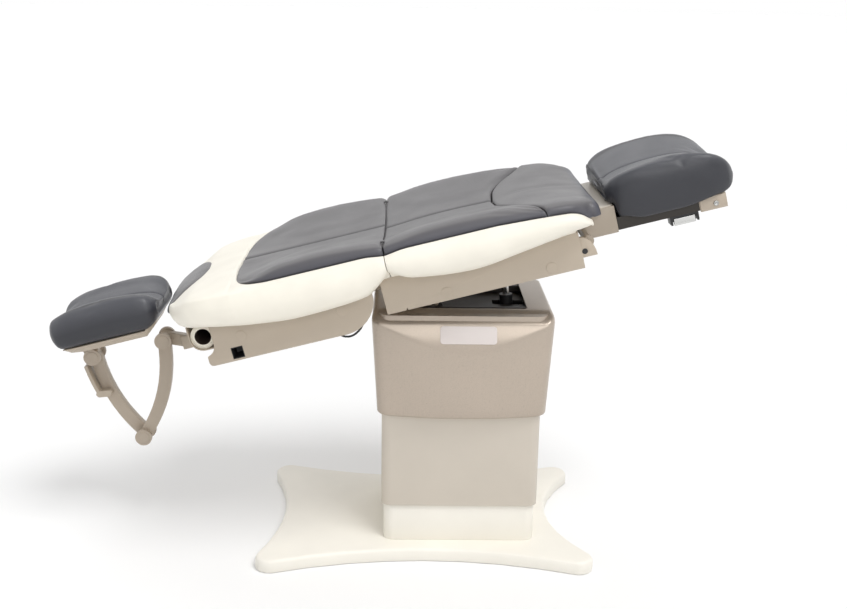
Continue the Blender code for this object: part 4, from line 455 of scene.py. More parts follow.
def curved(points, counts):
    """Points on a smooth line through the given ones, with a number of steps for each stretch."""
    line = []
    last = len(points) - 1
    for i, count in enumerate(counts):
        p1, p2 = Vector(points[i]), Vector(points[i + 1])
        p0 = Vector(points[i - 1]) if i else p1
        p3 = Vector(points[i + 2]) if i + 2 <= last else p2
        span = (p2 - p1).length
        start = (p2 - p0) * (span / max((p2 - p0).length, 1e-6)) if i else p2 - p1
        end = (p3 - p1) * (span / max((p3 - p1).length, 1e-6)) if i + 2 <= last else p2 - p1
        for k in range(count):
            t = k / count
            a, b = t * t * (3.0 - 2.0 * t), t * (1.0 - t)
            line.append(p1 + (p2 - p1) * a + start * (b * (1.0 - t)) - end * (b * t))
    return line + [Vector(points[-1])]


def stretch(first, last, count):
    """Evenly spaced stations after first, the last one included."""
    return [first + (last - first) * k / count for k in range(1, count + 1)]


def marks(counts, peaks, reach):
    """Mask along a curved() line: 1 at the given control points, fading over reach steps."""
    stops = [sum(counts[:i]) for i in range(len(counts) + 1)]
    return [
        max([max(0.0, 1.0 - abs(j - stops[p]) / reach) for p in peaks] or [0.0])
        for j in range(stops[-1] + 1)]


def finished(name, bm, material):
    """Object in the scene from a bmesh, shaded smooth."""
    mesh = bpy.data.meshes.new(name)
    for face in bm.faces:
        face.smooth = True
    bm.to_mesh(mesh)
    bm.free()
    made = bpy.data.objects.new(name, mesh)
    made.data.materials.append(material)
    bpy.context.scene.collection.objects.link(made)
    return made


def draped_grid(rows, seam, side, closed, place=TABLE):
    """Grid laid over rows of points, with a seam mask and a side mask of painted shade; closed rows meet round the
    piece.

    Both masks hold one value for each point of each row.
    """
    across = len(rows[0]) if closed else len(rows[0]) - 1
    along = len(rows) - 1
    bm = bmesh.new()
    bmesh.ops.create_grid(bm, x_segments=along, y_segments=across, size=1.0)
    # seam: seam line, partly painted shade of the crease; side: painted shade on the sides of a cushion
    seam_and_shade_layer = bm.verts.layers.float.new("seam")
    side_shade_layer = bm.verts.layers.float.new("side")
    for vert in bm.verts:
        i = round((vert.co.x + 1.0) * 0.5 * along)
        j = round((vert.co.y + 1.0) * 0.5 * across) % len(rows[0])
        vert[seam_and_shade_layer] = seam[i][j]
        vert[side_shade_layer] = side[i][j]
        vert.co = place @ Vector(rows[i][j])
    bmesh.ops.remove_doubles(bm, verts=bm.verts, dist=1e-6)
    return bm


def close_ends(bm, rounding=0.0):
    """Closes the open ends with faces; rounding pulls each one out to a soft end."""
    made = bmesh.ops.holes_fill(bm, edges=[e for e in bm.edges if e.is_boundary], sides=0)
    if rounding > 0.0:
        for face in made["faces"]:
            for share in (0.45, 0.30):
                bmesh.ops.inset_region(
                    bm, faces=[face], thickness=0.8 * rounding, depth=share * rounding, use_even_offset=True)
    else:
        bmesh.ops.inset_individual(bm, faces=made["faces"], thickness=CAP_RIM, use_even_offset=False)
    bmesh.ops.triangulate(bm, faces=[f for f in bm.faces if len(f.verts) > 4])
    bmesh.ops.recalc_face_normals(bm, faces=bm.faces)


def plump(piece, held, pressure, most):
    """Fills a cushion by a short cloth run: held points stay, no other moves further than most."""
    start = [v.co.copy() for v in piece.data.vertices]
    group = piece.vertex_groups.new(name="held")
    group.add(held, 1.0, "REPLACE")
    cloth = piece.modifiers.new("filling", "CLOTH")
    cloth.settings.quality = 5
    cloth.settings.mass = 0.3
    cloth.settings.tension_stiffness = 12.0
    cloth.settings.compression_stiffness = 12.0
    cloth.settings.bending_stiffness = 1.5
    cloth.settings.use_pressure = True
    cloth.settings.uniform_pressure_force = pressure
    cloth.settings.vertex_group_mass = "held"
    cloth.settings.effector_weights.gravity = 0.0
    cloth.collision_settings.use_collision = False
    scene = bpy.context.scene
    for step in range(1, FILL_STEPS + 1):
        scene.frame_set(step)
    evaluated = piece.evaluated_get(bpy.context.evaluated_depsgraph_get())
    grown = [v.co.copy() for v in evaluated.data.vertices]
    piece.modifiers.remove(cloth)
    piece.vertex_groups.clear()
    scene.frame_set(1)
    for vert, before, after in zip(piece.data.vertices, start, grown):
        move = after - before
        if move.length > most:
            move *= most / move.length
        vert.co = before + move
    piece.data.update()


def upholstered(piece, body, node):
    """Smooths a cushion, hangs it on its body and hides the solid it stands for."""
    smooth = piece.modifiers.new("smooth", "SUBSURF")
    smooth.levels = 1
    smooth.render_levels = 1
    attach(piece, body)
    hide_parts(node)


def mirrored(half):
    """Closed ring from a half line that starts and ends on the centre plane."""
    return list(half) + [Vector((-p.x, p.y)) for p in half[-2:0:-1]]


def mirrored_marks(half):
    """Mask for a mirrored() ring from the mask of its half line."""
    return list(half) + list(half[-2:0:-1])


def held_by(piece, test):
    """Numbers of the points whose place in the table frame passes the test."""
    back = TABLE.inverted()
    return [v.index for v in piece.data.vertices if test(back @ v.co)]


# Grey pads of seat and back

PAD_COUNTS = (3, 3, 3, 3, 4, 6, 6, 6, 3, 2)
SEAT_LINES = 220
D_GAP = 0.0012
SEWN_ROUND = 0.012
SEWN_DROP = 0.009
SEWN_SHARES = [0.003, 0.008, 0.015, 0.025, 0.970, 0.980, 0.988, 0.994, 0.998]
# Where painted shade starts on the rounded nose of the foot-end pad
NOSE_SHADE_START = 0.392
CREASE_HELD = 0.012
ROLL_HELD = 0.196
HINGE_HELD = 0.012


def hinge_cleared(u, w):
    """Height that keeps clear of the other cushion when the back is raised, eased into w."""
    limit = HINGE_W + HINGE_SLOPE * abs(u - HINGE_U)
    if limit - w > 8.0 * HINGE_SOFT:
        return w
    return -HINGE_SOFT * math.log(math.exp(-w / HINGE_SOFT) + math.exp(-limit / HINGE_SOFT))


def pad_line(u, half_width, base, roll, crease, seam, nose=0.0, groove=1.0):
    """Half line over a grey pad, from its lower edge over the side roll to the sewn centre crease.

    With nose the side hangs down past the lower edge, as at the rounded foot end; groove is the crease's depth.
    """
    roll = max(roll, base + 0.016)
    seam = min(seam, roll - 0.008)
    crease = min(max(crease, base + 0.008), roll - 0.002)
    rise = roll - crease
    low = Vector((half_width - 0.006, max(seam - 0.004, base + 0.001))).lerp((half_width - 0.018, NOSE_LOW), nose)
    wide = Vector((half_width, seam + 0.003)).lerp((half_width - 0.002, NOSE_LOW + 0.013), nose)
    upper = Vector((half_width - 0.002, seam + 0.6 * (roll - seam)))
    upper = upper.lerp((half_width, NOSE_LOW + 0.013 + 0.5 * (roll - NOSE_LOW - 0.013)), nose)
    half = curved([
        (half_width - 0.048, base), tuple(low), tuple(wide), tuple(upper),
        (half_width - 0.012, roll - 0.004), (half_width - 0.036, roll),
        (0.62 * half_width, crease + 0.50 * rise), (0.30 * half_width, crease + 0.19 * rise),
        (0.020, crease + 0.0005 + 0.0025 * groove), (0.0075, crease + 0.0001 - 0.0006 * groove),
        (0.0, crease - 0.0060 * groove),
    ], PAD_COUNTS)
    return [Vector((point.x, hinge_cleared(u, point.y))) for point in half]


def open_row(half):
    """Row across a pad from one lower edge to the other."""
    return list(half) + [Vector((-p.x, p.y)) for p in half[-2::-1]]


def hinge_dip(away):
    """How far the side seam dips at a distance from the cushion's end at the hinge."""
    return eased([(0.0, 0.008), (0.050, 0.0)], away)


def seat_plan(u):
    """How far the seat's sides draw in towards its foot end."""
    end = SEAT_BOLSTER_END
    return eased([
        (SEAT_START, 0.0), (end - 0.120, 0.0), (end - 0.057, 0.007), (end - 0.020, 0.026), (end, 0.050)], u)


def seat_share(share):
    """Place along the seat, from 0 at the hinge to 1 at the bolster's foot end."""
    return SEAT_START + share * (SEAT_BOLSTER_END - SEAT_START)


def seat_top_drop(u):
    """How far the side seam falls towards the foot end."""
    at = seat_share
    return eased([
        (at(0.55), 0.0), (at(0.78), 0.008), (at(0.90), 0.015), (at(0.95), 0.028), (at(0.98), 0.044),
        (SEAT_BOLSTER_END, 0.056)], u)


def seat_roll_fall(u):
    """How far the pad's side roll falls towards the foot end."""
    at = seat_share
    end, stop = SEAT_BOLSTER_END, SEAT_PAD_END
    return eased([
        (at(0.40), 0.0), (at(0.58), 0.005), (at(0.71), 0.012), (at(0.877), 0.020), (at(0.956), 0.030),
        (end + 0.004, 0.040), (stop - 0.010, 0.049), (stop - 0.003, 0.056), (stop, 0.063)], u)


def seat_line(u):
    """Half line over the seat's grey pad at u, the foot-end pad included."""
    start, end, stop = SEAT_START, SEAT_BOLSTER_END, SEAT_PAD_END
    inset = seat_plan(u) + quarter_drop((u - stop + 0.024) / 0.024, 0.020)
    inset += quarter_drop(1.0 - (u - start) / HINGE_ROUND, HINGE_INSET)
    fall = seat_roll_fall(u) + eased([(start, 0.013), (-0.142, 0.009), (-0.088, 0.003), (-0.030, 0.0)], u)
    seam = PAD_SEAM - seat_top_drop(u) - hinge_dip(u - start)
    past = min(max((u - end) / 0.006, 0.0), 1.0)
    base = min(PAD_BASE, seam - 0.010)
    base = (1.0 - past) * base + past * BOX_CLEAR_W
    if u > SEAT_FOOT_END:
        base = max(base, BOX_CLEAR_W)
    seam = (1.0 - past) * seam + past * (PAD_ROLL - fall - 0.012)
    dome = eased([(0.120, 0.0), (0.230, 0.013), (stop, 0.011)], u)
    crease = PAD_CREASE - CREASE_FOLLOW * fall + dome
    groove = eased([(0.128, 1.0), (0.142, 0.0)], u)
    return pad_line(u, PAD_HALF_WIDTH - inset, base, PAD_ROLL - fall, crease, seam, past, groove)


def d_seam(y):
    """Where the seam of the D-shaped foot-end pad runs."""
    return eased([
        (0.0, 0.137), (0.10, 0.145), (0.15, 0.160), (0.20, 0.182), (0.25, 0.212), (0.31, 0.245),
        (0.37, 0.266)], abs(y))


def pad_masks():
    """Seam mask and side mask of one row across a grey pad; the side mask is painted shade low on the side roll."""
    # Wide seam band: partly the seam's own dark, partly painted shade in the crease
    seam = marks(PAD_COUNTS, [10], 3.4)
    # Side mask: painted shade, full low on the side roll, gone below its top
    full, none = sum(PAD_COUNTS[:2]), sum(PAD_COUNTS[:4])
    side = [eased([(full, 1.0), (none, 0.0)], j) for j in range(len(seam))]
    return seam + seam[-2::-1], side + side[-2::-1]


def footed(rows):
    """Adds rows at both ends that come down to the pad's lower edge."""
    def down(row):
        low = row[0][2]
        return [(u, y, low + 0.15 * (w - low) if w > low else w) for u, y, w in row]
    return [down(rows[0])] + rows + [down(rows[-1])]


def seat_pads():
    """Grey seat pad and the D-shaped pad at its foot end, sewn together along the D."""
    seam_and_shade_row, side_shade_row = pad_masks()
    us = [SEAT_START + k * (SEAT_PAD_END - SEAT_START) / SEAT_LINES for k in range(SEAT_LINES + 1)]
    table = [open_row(seat_line(u)) for u in us]

    def surface(u, j):
        place = min(max((u - us[0]) / (us[-1] - us[0]) * SEAT_LINES, 0.0), SEAT_LINES - 1e-6)
        low = int(place)
        return table[low][j].lerp(table[low + 1][j], place - low)

    def rows_of(first, last, count, round_first, round_last):
        rows = []
        for t in sorted(set([k / count for k in range(count + 1)] + SEWN_SHARES)):
            row = []
            for j in range(len(table[0])):
                y = table[SEAT_LINES // 2][j].x
                for _ in range(3):
                    u = first(y) + t * (last(y) - first(y))
                    point = surface(u, j)
                    y = point.x
                low = surface(u, 0).y
                fall = 0.0
                if round_first:
                    fall = max(fall, quarter_drop(1.0 - (u - first(y)) / SEWN_ROUND, SEWN_DROP))
                if round_last:
                    fall = max(fall, quarter_drop(1.0 - (last(y) - u) / SEWN_ROUND, SEWN_DROP))
                row.append((u, y, max(point.y - fall, low)))
            rows.append(row)
        return rows

    rows = footed(rows_of(lambda y: SEAT_START, lambda y: d_seam(y) - D_GAP, 34, False, True))
    bm = draped_grid(rows, [seam_and_shade_row] * len(rows), [side_shade_row] * len(rows), False)
    close_ends(bm)
    pad = finished("seat_pad_cushion", bm, FINISH["grey_vinyl"])
    held = held_by(
        pad, lambda p: abs(p.y) < CREASE_HELD or p.z < ROLL_HELD or p.x < SEAT_START + HINGE_HELD)
    plump(pad, held, PAD_PRESSURE, 0.005)
    upholstered(pad, "seat", "seat_pad")

    rows = footed(rows_of(lambda y: d_seam(y) + D_GAP, lambda y: SEAT_PAD_END, 30, True, False))
    side_shade_rows = []
    # The nose end joins the side mask: painted shade on the rounded nose
    for row in rows:
        end = [min(max((u - NOSE_SHADE_START) / 0.010, 0.0), 1.0) for u, _, _ in row]
        side_shade_rows.append([max(a, b) for a, b in zip(side_shade_row, end)])
    none = [0.0] * len(seam_and_shade_row)
    bm = draped_grid(rows, [none] * len(rows), side_shade_rows, False)
    close_ends(bm)
    front_pad = finished("seat_front_cushion", bm, FINISH["grey_vinyl"])
    held = held_by(front_pad, lambda p: p.z < 0.170 or abs(p.x - d_seam(p.y)) < 0.010)
    plump(front_pad, held, PAD_PRESSURE, 0.006)
    upholstered(front_pad, "seat", "seat_front_pad")


def back_plan(u):
    """Half width of the back's grey pad, rounded in at the head end's corners."""
    full, end = PAD_HALF_WIDTH, BACK_PAD_END
    return eased([
        (end, 0.383 * full), (end + 0.008, 0.656 * full), (end + 0.030, 0.847 * full),
        (end + 0.065, 0.951 * full), (end + BACK_CORNER, full)], u)


def back_pad():
    """Grey pad of the back: rolled sides that run round the two corners at the head end."""
    start, end, close = BACK_START, BACK_PAD_END, 0.028
    stations = [end + BACK_CORNER * (k / 14) ** 2 for k in range(15)]
    stations += stretch(end + BACK_CORNER, start - close, 26)
    stations += [start - close * (1.0 - math.sin(0.5 * math.pi * k / 9)) for k in range(1, 10)]
    rows = []
    for u in stations:
        inset = quarter_drop(1.0 + (u - start) / HINGE_ROUND, HINGE_INSET)
        fall = eased([
            (end, 0.036), (-0.600, 0.030), (-0.545, 0.019), (-0.506, 0.009), (-0.460, 0.003), (-0.400, 0.0)], u)
        fall += eased([(-0.340, 0.0), (-0.259, 0.005), (start, 0.012)], u)
        seam = PAD_SEAM - hinge_dip(start - u)
        half = pad_line(u, back_plan(u) - inset, PAD_BASE, PAD_ROLL - fall, PAD_CREASE, seam)
        rows.append([(u, p.x, p.y) for p in open_row(half)])
    rows = footed(rows)
    seam_and_shade_row, side_shade_row = pad_masks()
    side_shade_rows = []
    for row in rows:
        # Painted shade on the side roll fades out towards the head end
        rolled = eased([(-0.600, 0.0), (-0.540, 1.0)], row[0][0])
        side_shade_rows.append([rolled * share for share in side_shade_row])
    bm = draped_grid(rows, [seam_and_shade_row] * len(rows), side_shade_rows, False)
    close_ends(bm)
    pad = finished("back_pad_cushion", bm, FINISH["grey_vinyl"])
    held = held_by(pad, lambda p: abs(p.y) < CREASE_HELD or p.z < ROLL_HELD or p.x > start - HINGE_HELD)
    plump(pad, held, PAD_PRESSURE, 0.005)
    upholstered(pad, "back", "back_pad")


# Strip in the fold between seat and back

FOLD_REACH = (0.012, 0.007)
FOLD_TURN = 0.003
FOLD_STEPS = 6
FOLD_DEPTH = 0.004
FOLD_THICK = 0.003


def fold_strip():
    """Thin padded strip inside both grey pads, across the gap at the hinge."""
    across = open_row(seat_line(SEAT_START)[sum(PAD_COUNTS[:5]):])
    upper = [(p.x, p.y - FOLD_DEPTH) for p in across]
    lower = [(p.x, max(p.y - FOLD_DEPTH - FOLD_THICK, PAD_BASE + CAP_RIM)) for p in across]
    ring = upper + lower[::-1]
    reach = list(FOLD_REACH) + [FOLD_TURN * step / FOLD_STEPS for step in range(FOLD_STEPS, 0, -1)]
    reach += [0.0] + [-along for along in reach[::-1]]
    rows = [[(HINGE_U + along, y, w) for y, w in ring] for along in reach]
    plain = [[0.0] * len(ring) for _ in rows]
    bm = draped_grid(rows, plain, plain, True)
    close_ends(bm)
    strip = finished("fold_strip", bm, finish_of("seat_pad"))
    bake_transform(strip)


# White bolsters

BOLSTER_COUNTS = (1, 1, 2, 3, 4, 4, 4, 3, 3, 2, 1, 1)
HEAD_CORNER = 0.045
FRAME_HELD = 0.012
SEAM_HELD = 0.184


def bolster_line(half_width, pad_width, skirt, seam, floor, shelf, lip):
    """Half ring of a white bolster: flat underside, full side roll, shelf under the grey pad."""
    inner = min(FRAME_HALF_WIDTH + 0.0006, half_width - 0.045)
    skirt = min(skirt, seam - 0.020)
    side = seam - skirt
    hung = Vector((inner, min(skirt, floor - 0.002)))
    edge = Vector((inner + 0.004, floor + 0.0003)).lerp(hung, lip)
    low = min(shelf, seam - 0.010)
    return [
        (0.0, floor), (inner, floor), tuple(edge), (0.5 * (inner + half_width - 0.022), skirt - 0.002),
        (half_width - 0.022, skirt + 0.08 * side), (half_width - 0.005, skirt + 0.30 * side),
        (half_width, skirt + 0.58 * side), (half_width - 0.005, skirt + 0.80 * side),
        (half_width - 0.014, skirt + 0.94 * side), (pad_width + 0.0045, seam - 0.001),
        (pad_width - 0.004, seam - 0.008), (pad_width - 0.046, low), (0.0, low),
    ]


def seat_bolster_ring(u):
    """Ring of the seat's white bolster at u, stepped over the foot section's box."""
    at = seat_share
    hinge = 1.0 - (u - WHITE_SEAT_START) / WHITE_HINGE_ROUND
    inset = seat_plan(u) + shallow_drop(hinge, WHITE_HINGE_INSET)
    seam = PAD_SEAM - seat_top_drop(u) - hinge_dip(u - SEAT_START)
    skirt = eased([
        (SEAT_START, 0.130), (at(0.10), 0.101), (at(0.40), 0.082), (at(0.65), 0.100), (at(0.90), 0.122)], u)
    lip = eased([(SEAT_FOOT_END - 0.030, 1.0), (SEAT_FOOT_END - 0.012, 0.0)], u)
    half_width = BOLSTER_HALF_WIDTH - inset
    pad_width = PAD_HALF_WIDTH - inset
    shelf = PAD_BASE - 0.0003
    half = bolster_line(half_width, pad_width, skirt, seam, DECK_TOP, shelf, lip)
    if u > SEAT_FOOT_END + 0.002:
        over = BOX_CLEAR_W - 0.0025
        half[0] = (0.0, over)
        half[1] = (BOX_CLEAR_Y, over)
        half[2] = (BOX_CLEAR_Y + 0.003, min(half[3][1] + 0.004, over))
        half[-2] = (half[-2][0], max(half[-2][1], BOX_CLEAR_W - 0.0005))
        half[-1] = (0.0, BOX_CLEAR_W - 0.0005)
    return mirrored(curved(half, BOLSTER_COUNTS))


def back_bolster_ring(u):
    """Ring of the back's white bolster at u, crowned where no grey pad lies on it."""
    start, end, pad_end = WHITE_BACK_START, BACK_BOLSTER_END, BACK_PAD_END
    hinge = 1.0 + (u - start) / WHITE_HINGE_ROUND
    full = BOLSTER_HALF_WIDTH
    skirt = eased([
        (end, 0.103), (-0.810, 0.098), (-0.760, 0.098), (-0.672, 0.088), (-0.573, 0.074), (-0.471, 0.064),
        (-0.353, 0.068), (-0.261, 0.078), (-0.227, 0.100), (start, 0.130)], u)
    half_width = eased([
        (end, 0.38 * full), (end + 0.012, 0.52 * full), (end + 0.045, 0.73 * full), (end + 0.090, 0.87 * full),
        (end + 0.150, 0.955 * full), (end + 0.230, full)], u) - shallow_drop(hinge, WHITE_HINGE_INSET)
    drop = eased([
        (end, 0.050), (end + 0.020, 0.030), (end + 0.060, 0.017), (end + 0.110, 0.005), (end + 0.180, 0.0)], u)
    seam = PAD_SEAM - drop - hinge_dip(start - u)
    past = u < pad_end - 0.003
    pad_width = half_width - 0.060 if past else back_plan(u) - shallow_drop(hinge, WHITE_HINGE_INSET)
    half = bolster_line(half_width, pad_width, skirt, seam, DECK_TOP, PAD_BASE - 0.0003, 1.0)
    if past:
        crown = min(max((end + 0.103 - u) / 0.060, 0.0), 1.0)
        low, wide = half[3][1], half[6][0]
        side = seam - low
        half = half[:7]
        half.append((wide - 0.005 - 0.003 * crown, low + (0.80 - 0.06 * crown) * side))
        half.append((wide - 0.014 - 0.016 * crown, low + (0.94 - 0.10 * crown) * side))
        edge = half[-1][0]
        half += [(share * edge, seam - fall * crown) for share, fall in (
            (0.80, 0.013), (0.50, 0.004), (0.25, 0.001), (0.0, 0.0))]
    return mirrored(curved(half, BOLSTER_COUNTS))


def ring_tube(name, material, stations, ring, seam_peaks, counts, rounding, side_shade=None):
    """Closed cushion from rings along the table.

    Seams run at the given control points of the half ring; painted shade covers the sides up to the last control
    point given.
    """
    rows = [[(u, p.x, p.y) for p in ring(u)] for u in stations]
    seam = mirrored_marks(marks(counts, seam_peaks, 1.2))
    side = [0.0] * (sum(counts) + 1)
    if side_shade:
        # Side mask of painted shade, fading out around that control point
        top = sum(counts[:side_shade])
        side = [eased([(top - 3, 1.0), (top + 3, 0.0)], j) for j in range(len(side))]
    bm = draped_grid(rows, [seam] * len(rows), [mirrored_marks(side)] * len(rows), True)
    close_ends(bm, rounding)
    return finished(name, bm, material)


def bolster_held(place):
    """True where a bolster rests on its frame or is sewn to the grey pad."""
    return abs(place.y) < FRAME_HALF_WIDTH + FRAME_HELD or place.z > SEAM_HELD


def white_bolsters():
    """White bolsters round the grey pads of seat and back."""
    start, end, rounded = WHITE_SEAT_START, SEAT_BOLSTER_END, WHITE_HINGE_ROUND
    stations = [start + rounded * (1.0 - math.cos(0.5 * math.pi * k / 8)) for k in range(9)]
    stations += stretch(start + rounded, SEAT_FOOT_END + 0.0005, 36)
    stations += [0.3445, 0.350, 0.356, 0.362, 0.367, 0.372, 0.376, 0.379, 0.382, end]
    seat = ring_tube(
        "seat_bolster_cushion", FINISH["white_vinyl"], stations, seat_bolster_ring, [], BOLSTER_COUNTS, 0.0)
    plump(seat, held_by(seat, bolster_held), BOLSTER_PRESSURE, 0.004)
    upholstered(seat, "seat", "seat_bolster")

    start, end, pad_end = WHITE_BACK_START, BACK_BOLSTER_END, BACK_PAD_END
    stations = [end + HEAD_CORNER * (k / 10) ** 1.6 for k in range(11)]
    stations += stretch(end + HEAD_CORNER, pad_end - 0.004, 16)
    stations += [pad_end + BACK_CORNER * (k / 10) ** 1.6 for k in range(11)]
    stations += stretch(pad_end + BACK_CORNER, start - rounded, 24)
    stations += [start - rounded * math.cos(0.5 * math.pi * k / 8) for k in range(1, 9)]
    back = ring_tube(
        "back_bolster_cushion", FINISH["white_vinyl"], stations, back_bolster_ring, [], BOLSTER_COUNTS, 0.006)
    plump(back, held_by(back, bolster_held), BOLSTER_PRESSURE, 0.004)
    upholstered(back, "back", "back_bolster")


def white_top(u, y):
    """Height of the white head end at a place on its plan."""
    ring = back_bolster_ring(u)
    half = ring[:len(ring) // 2 + 1]
    widest = max(range(len(half)), key=lambda j: half[j].x)
    upper = half[widest:]
    for outer, inner in zip(upper, upper[1:]):
        if inner.x <= abs(y) <= outer.x:
            return inner.y + (outer.y - inner.y) * (abs(y) - inner.x) / max(outer.x - inner.x, 1e-6)
    return upper[0].y


NECK_REACH = 0.192
NECK_SWELL = 0.0075
NECK_SUNK = 0.0015
NECK_COLUMNS = 41
NECK_STEPS = 16


def neck_cushion():
    """Grey half-moon pad over the white head end of the back, tucked round its edge."""
    reach, columns, steps = NECK_REACH, NECK_COLUMNS, NECK_STEPS
    inner = [(0.0, -0.738), (0.07, -0.745), (0.135, -0.770), (0.175, -0.812), (reach, -0.842)]
    outer = [(0.0, -0.8610), (0.12, -0.8610), (0.160, -0.8580), (reach, -0.8500)]
    rows = []
    for i in range(steps + 1):
        row = []
        for j in range(columns):
            y = -reach * math.cos(math.pi * j / (columns - 1))
            t = i / steps
            u = eased(inner, abs(y)) + t * (eased(outer, abs(y)) - eased(inner, abs(y)))
            swell = NECK_SWELL * (1.0 - max(1.0 - 2.0 * t, 0.0) ** 4) ** 0.7 * (1.0 - 0.6 * (y / reach) ** 6)
            row.append((u, y, white_top(u, y) - NECK_SUNK + swell))
        rows.append(row)
    for i in range(steps - 5, steps + 1):
        heights = [w for _, _, w in rows[i]]
        near = [heights[max(j - 3, 0):j + 4] for j in range(columns)]
        rows[i] = [(u, y, sum(some) / len(some)) for (u, y, _), some in zip(rows[i], near)]
    thin = [1.0 - 0.85 * (y / reach) ** 4 for _, y, _ in rows[steps]]
    for out, down in ((0.0045, 0.004), (0.0075, 0.011), (0.0080, 0.020)):
        rows.append([(u - out * k, y, w - down * k) for (u, y, w), k in zip(rows[steps], thin)])
    first, last = rows[0], rows[-1]
    rows.insert(0, [(u, y, w - 0.012) for u, y, w in first])
    rows.append([(u + 0.010, y, w - 0.004) for u, y, w in last])
    plain = [[0.0] * columns] * len(rows)
    shade = [[0.0] * columns if i < steps else [1.0] * columns for i in range(len(rows))]
    bm = draped_grid(rows, plain, shade, False)
    close_ends(bm)
    leaf = finished("neck_cushion", bm, FINISH["grey_vinyl"])
    upholstered(leaf, "back", "neck_pad")


# Headrest and foot cushions

HEAD_COUNTS = (1, 2, 3, 4, 4, 4, 6, 6, 2, 2)


def headrest_ring(u):
    """Ring of the headrest cushion at u: two side rolls with a shallow dish between them."""
    head, foot = HEADREST_HEAD, HEADREST_FOOT
    floor = eased([(head, 0.112), (head + 0.010, 0.092), (head + 0.030, 0.0763), (foot - 0.048, 0.0763),
                   (foot - 0.014, 0.094), (foot, 0.112)], u)
    roll = eased([(head, 0.136), (head + 0.007, 0.156), (head + 0.025, 0.170), (head + 0.095, 0.187),
                  (head + 0.200, 0.193), (foot - 0.062, 0.189), (foot - 0.030, 0.182), (foot - 0.012, 0.170),
                  (foot - 0.004, 0.159), (foot, 0.148)], u)
    half = eased([(head, 0.100), (head + 0.006, 0.118), (head + 0.022, 0.138), (head + 0.060, 0.148),
                  (foot - 0.060, 0.148), (foot - 0.024, 0.143), (foot - 0.007, 0.130), (foot, 0.112)], u)
    side = roll - floor
    dish = 0.026 * min(1.0, side / (roll - 0.076))
    return mirrored(curved([
        (0.0, floor), (0.80 * half, floor), (0.95 * half, floor + 0.10 * side), (half, floor + 0.40 * side),
        (0.980 * half, floor + 0.67 * side), (0.91 * half, roll - 0.085 * side), (0.77 * half, roll),
        (0.45 * half, roll - 0.55 * dish), (0.12 * half, roll - 0.88 * dish),
        (0.045 * half, roll - dish), (0.0, roll - dish - 0.006)], HEAD_COUNTS))


def headrest_cushion():
    """Dark cushion of the headrest, rounded at both ends."""
    head, foot, close = HEADREST_HEAD, HEADREST_FOOT, 0.060
    stations = [head + close * (k / 12) ** 1.7 for k in range(13)]
    stations += stretch(head + close, foot - close, 20)
    stations += [foot - close * (1.0 - k / 12) ** 1.7 for k in range(1, 13)]
    # Sides up to control point 4 get painted shade
    pad = ring_tube("headrest_pad", DARK_VINYL, stations, headrest_ring, [6, 10], HEAD_COUNTS, 0.006, 4)
    plump(pad, held_by(pad, lambda p: p.z < 0.080 or abs(p.y) < 0.004), PAD_PRESSURE, 0.004)
    upholstered(pad, "headrest", "headrest_cushion")


FOOT_COUNTS = (1, 1, 2, 5, 4, 4, 4, 3, 5, 5, 4, 3, 2)


def foot_ring(u):
    """Ring of the foot cushion at u: two crests with a valley between them, sides that hang past the tray."""
    start, end = FOOT_START, FOOT_END
    low, over, step = 0.0943, 0.135, 0.468
    floor = eased([(step + 0.004, low), (end - 0.050, low), (end - 0.014, 0.106), (end, 0.128)], u)
    if u <= step + 0.001:
        floor = over + quarter_drop(1.0 - (u - start) / 0.010, 0.026)
    crest = eased([(start, 0.176), (0.458, 0.190), (0.474, 0.204), (0.500, 0.216), (0.540, 0.224), (0.600, 0.229),
                   (0.660, 0.2295), (0.705, 0.226), (0.745, 0.217), (0.775, 0.203), (0.798, 0.184), (0.812, 0.164),
                   (end, 0.148)], u)
    half = eased([(start, 0.165), (start + 0.010, 0.192), (start + 0.040, 0.215), (start + 0.100, 0.225),
                  (end - 0.080, 0.222), (end - 0.025, 0.205), (end - 0.006, 0.182), (end, 0.165)], u)
    hang = eased([(start + 0.040, 0.0), (start + 0.100, 1.0), (end - 0.170, 1.0), (end - 0.050, 0.0)], u)
    side = crest - floor
    valley = min(0.030, 0.35 * side)
    drop = hang * (low - 0.079)
    inner = min(0.2042, 0.94 * half)
    return mirrored(curved([
        (0.0, floor), (inner, floor), (inner + 0.0006, floor - drop + 0.0003),
        (0.965 * half, floor - drop + 0.05 * side), (half, floor + 0.36 * side), (0.994 * half, floor + 0.68 * side),
        (0.968 * half, crest - 0.055 * side), (0.905 * half, crest), (0.83 * half, crest - 0.10 * valley),
        (0.52 * half, crest - 0.48 * valley), (0.24 * half, crest - 0.80 * valley),
        (0.085 * half, crest - 0.93 * valley), (0.030 * half, crest - 1.02 * valley),
        (0.0, crest - 1.20 * valley)], FOOT_COUNTS))


def foot_cushion():
    """Dark two-lobed cushion of the foot section."""
    start, end, past_step, close = FOOT_START, FOOT_END, 0.4735, 0.070
    stations = [start + 0.017 * k / 6 for k in range(7)] + [0.4685, past_step]
    stations += stretch(past_step, end - close, 28)
    stations += [end - close * (1.0 - k / 14) ** 1.7 for k in range(1, 15)]
    # Sides up to control point 6 get painted shade
    pad = ring_tube("foot_pad", DARK_VINYL, stations, foot_ring, [8, 13], FOOT_COUNTS, 0.008, 6)
    plump(pad, held_by(pad, lambda p: p.z < 0.100 or abs(p.y) < 0.004 or p.x < 0.474), PAD_PRESSURE, 0.005)
    upholstered(pad, "foot_extension", "foot_cushion")


# Wire loop under the back

WIRE_DIAMETER = 0.006
WIRE_SIDE = -0.264
WIRE_DECK = 0.0957


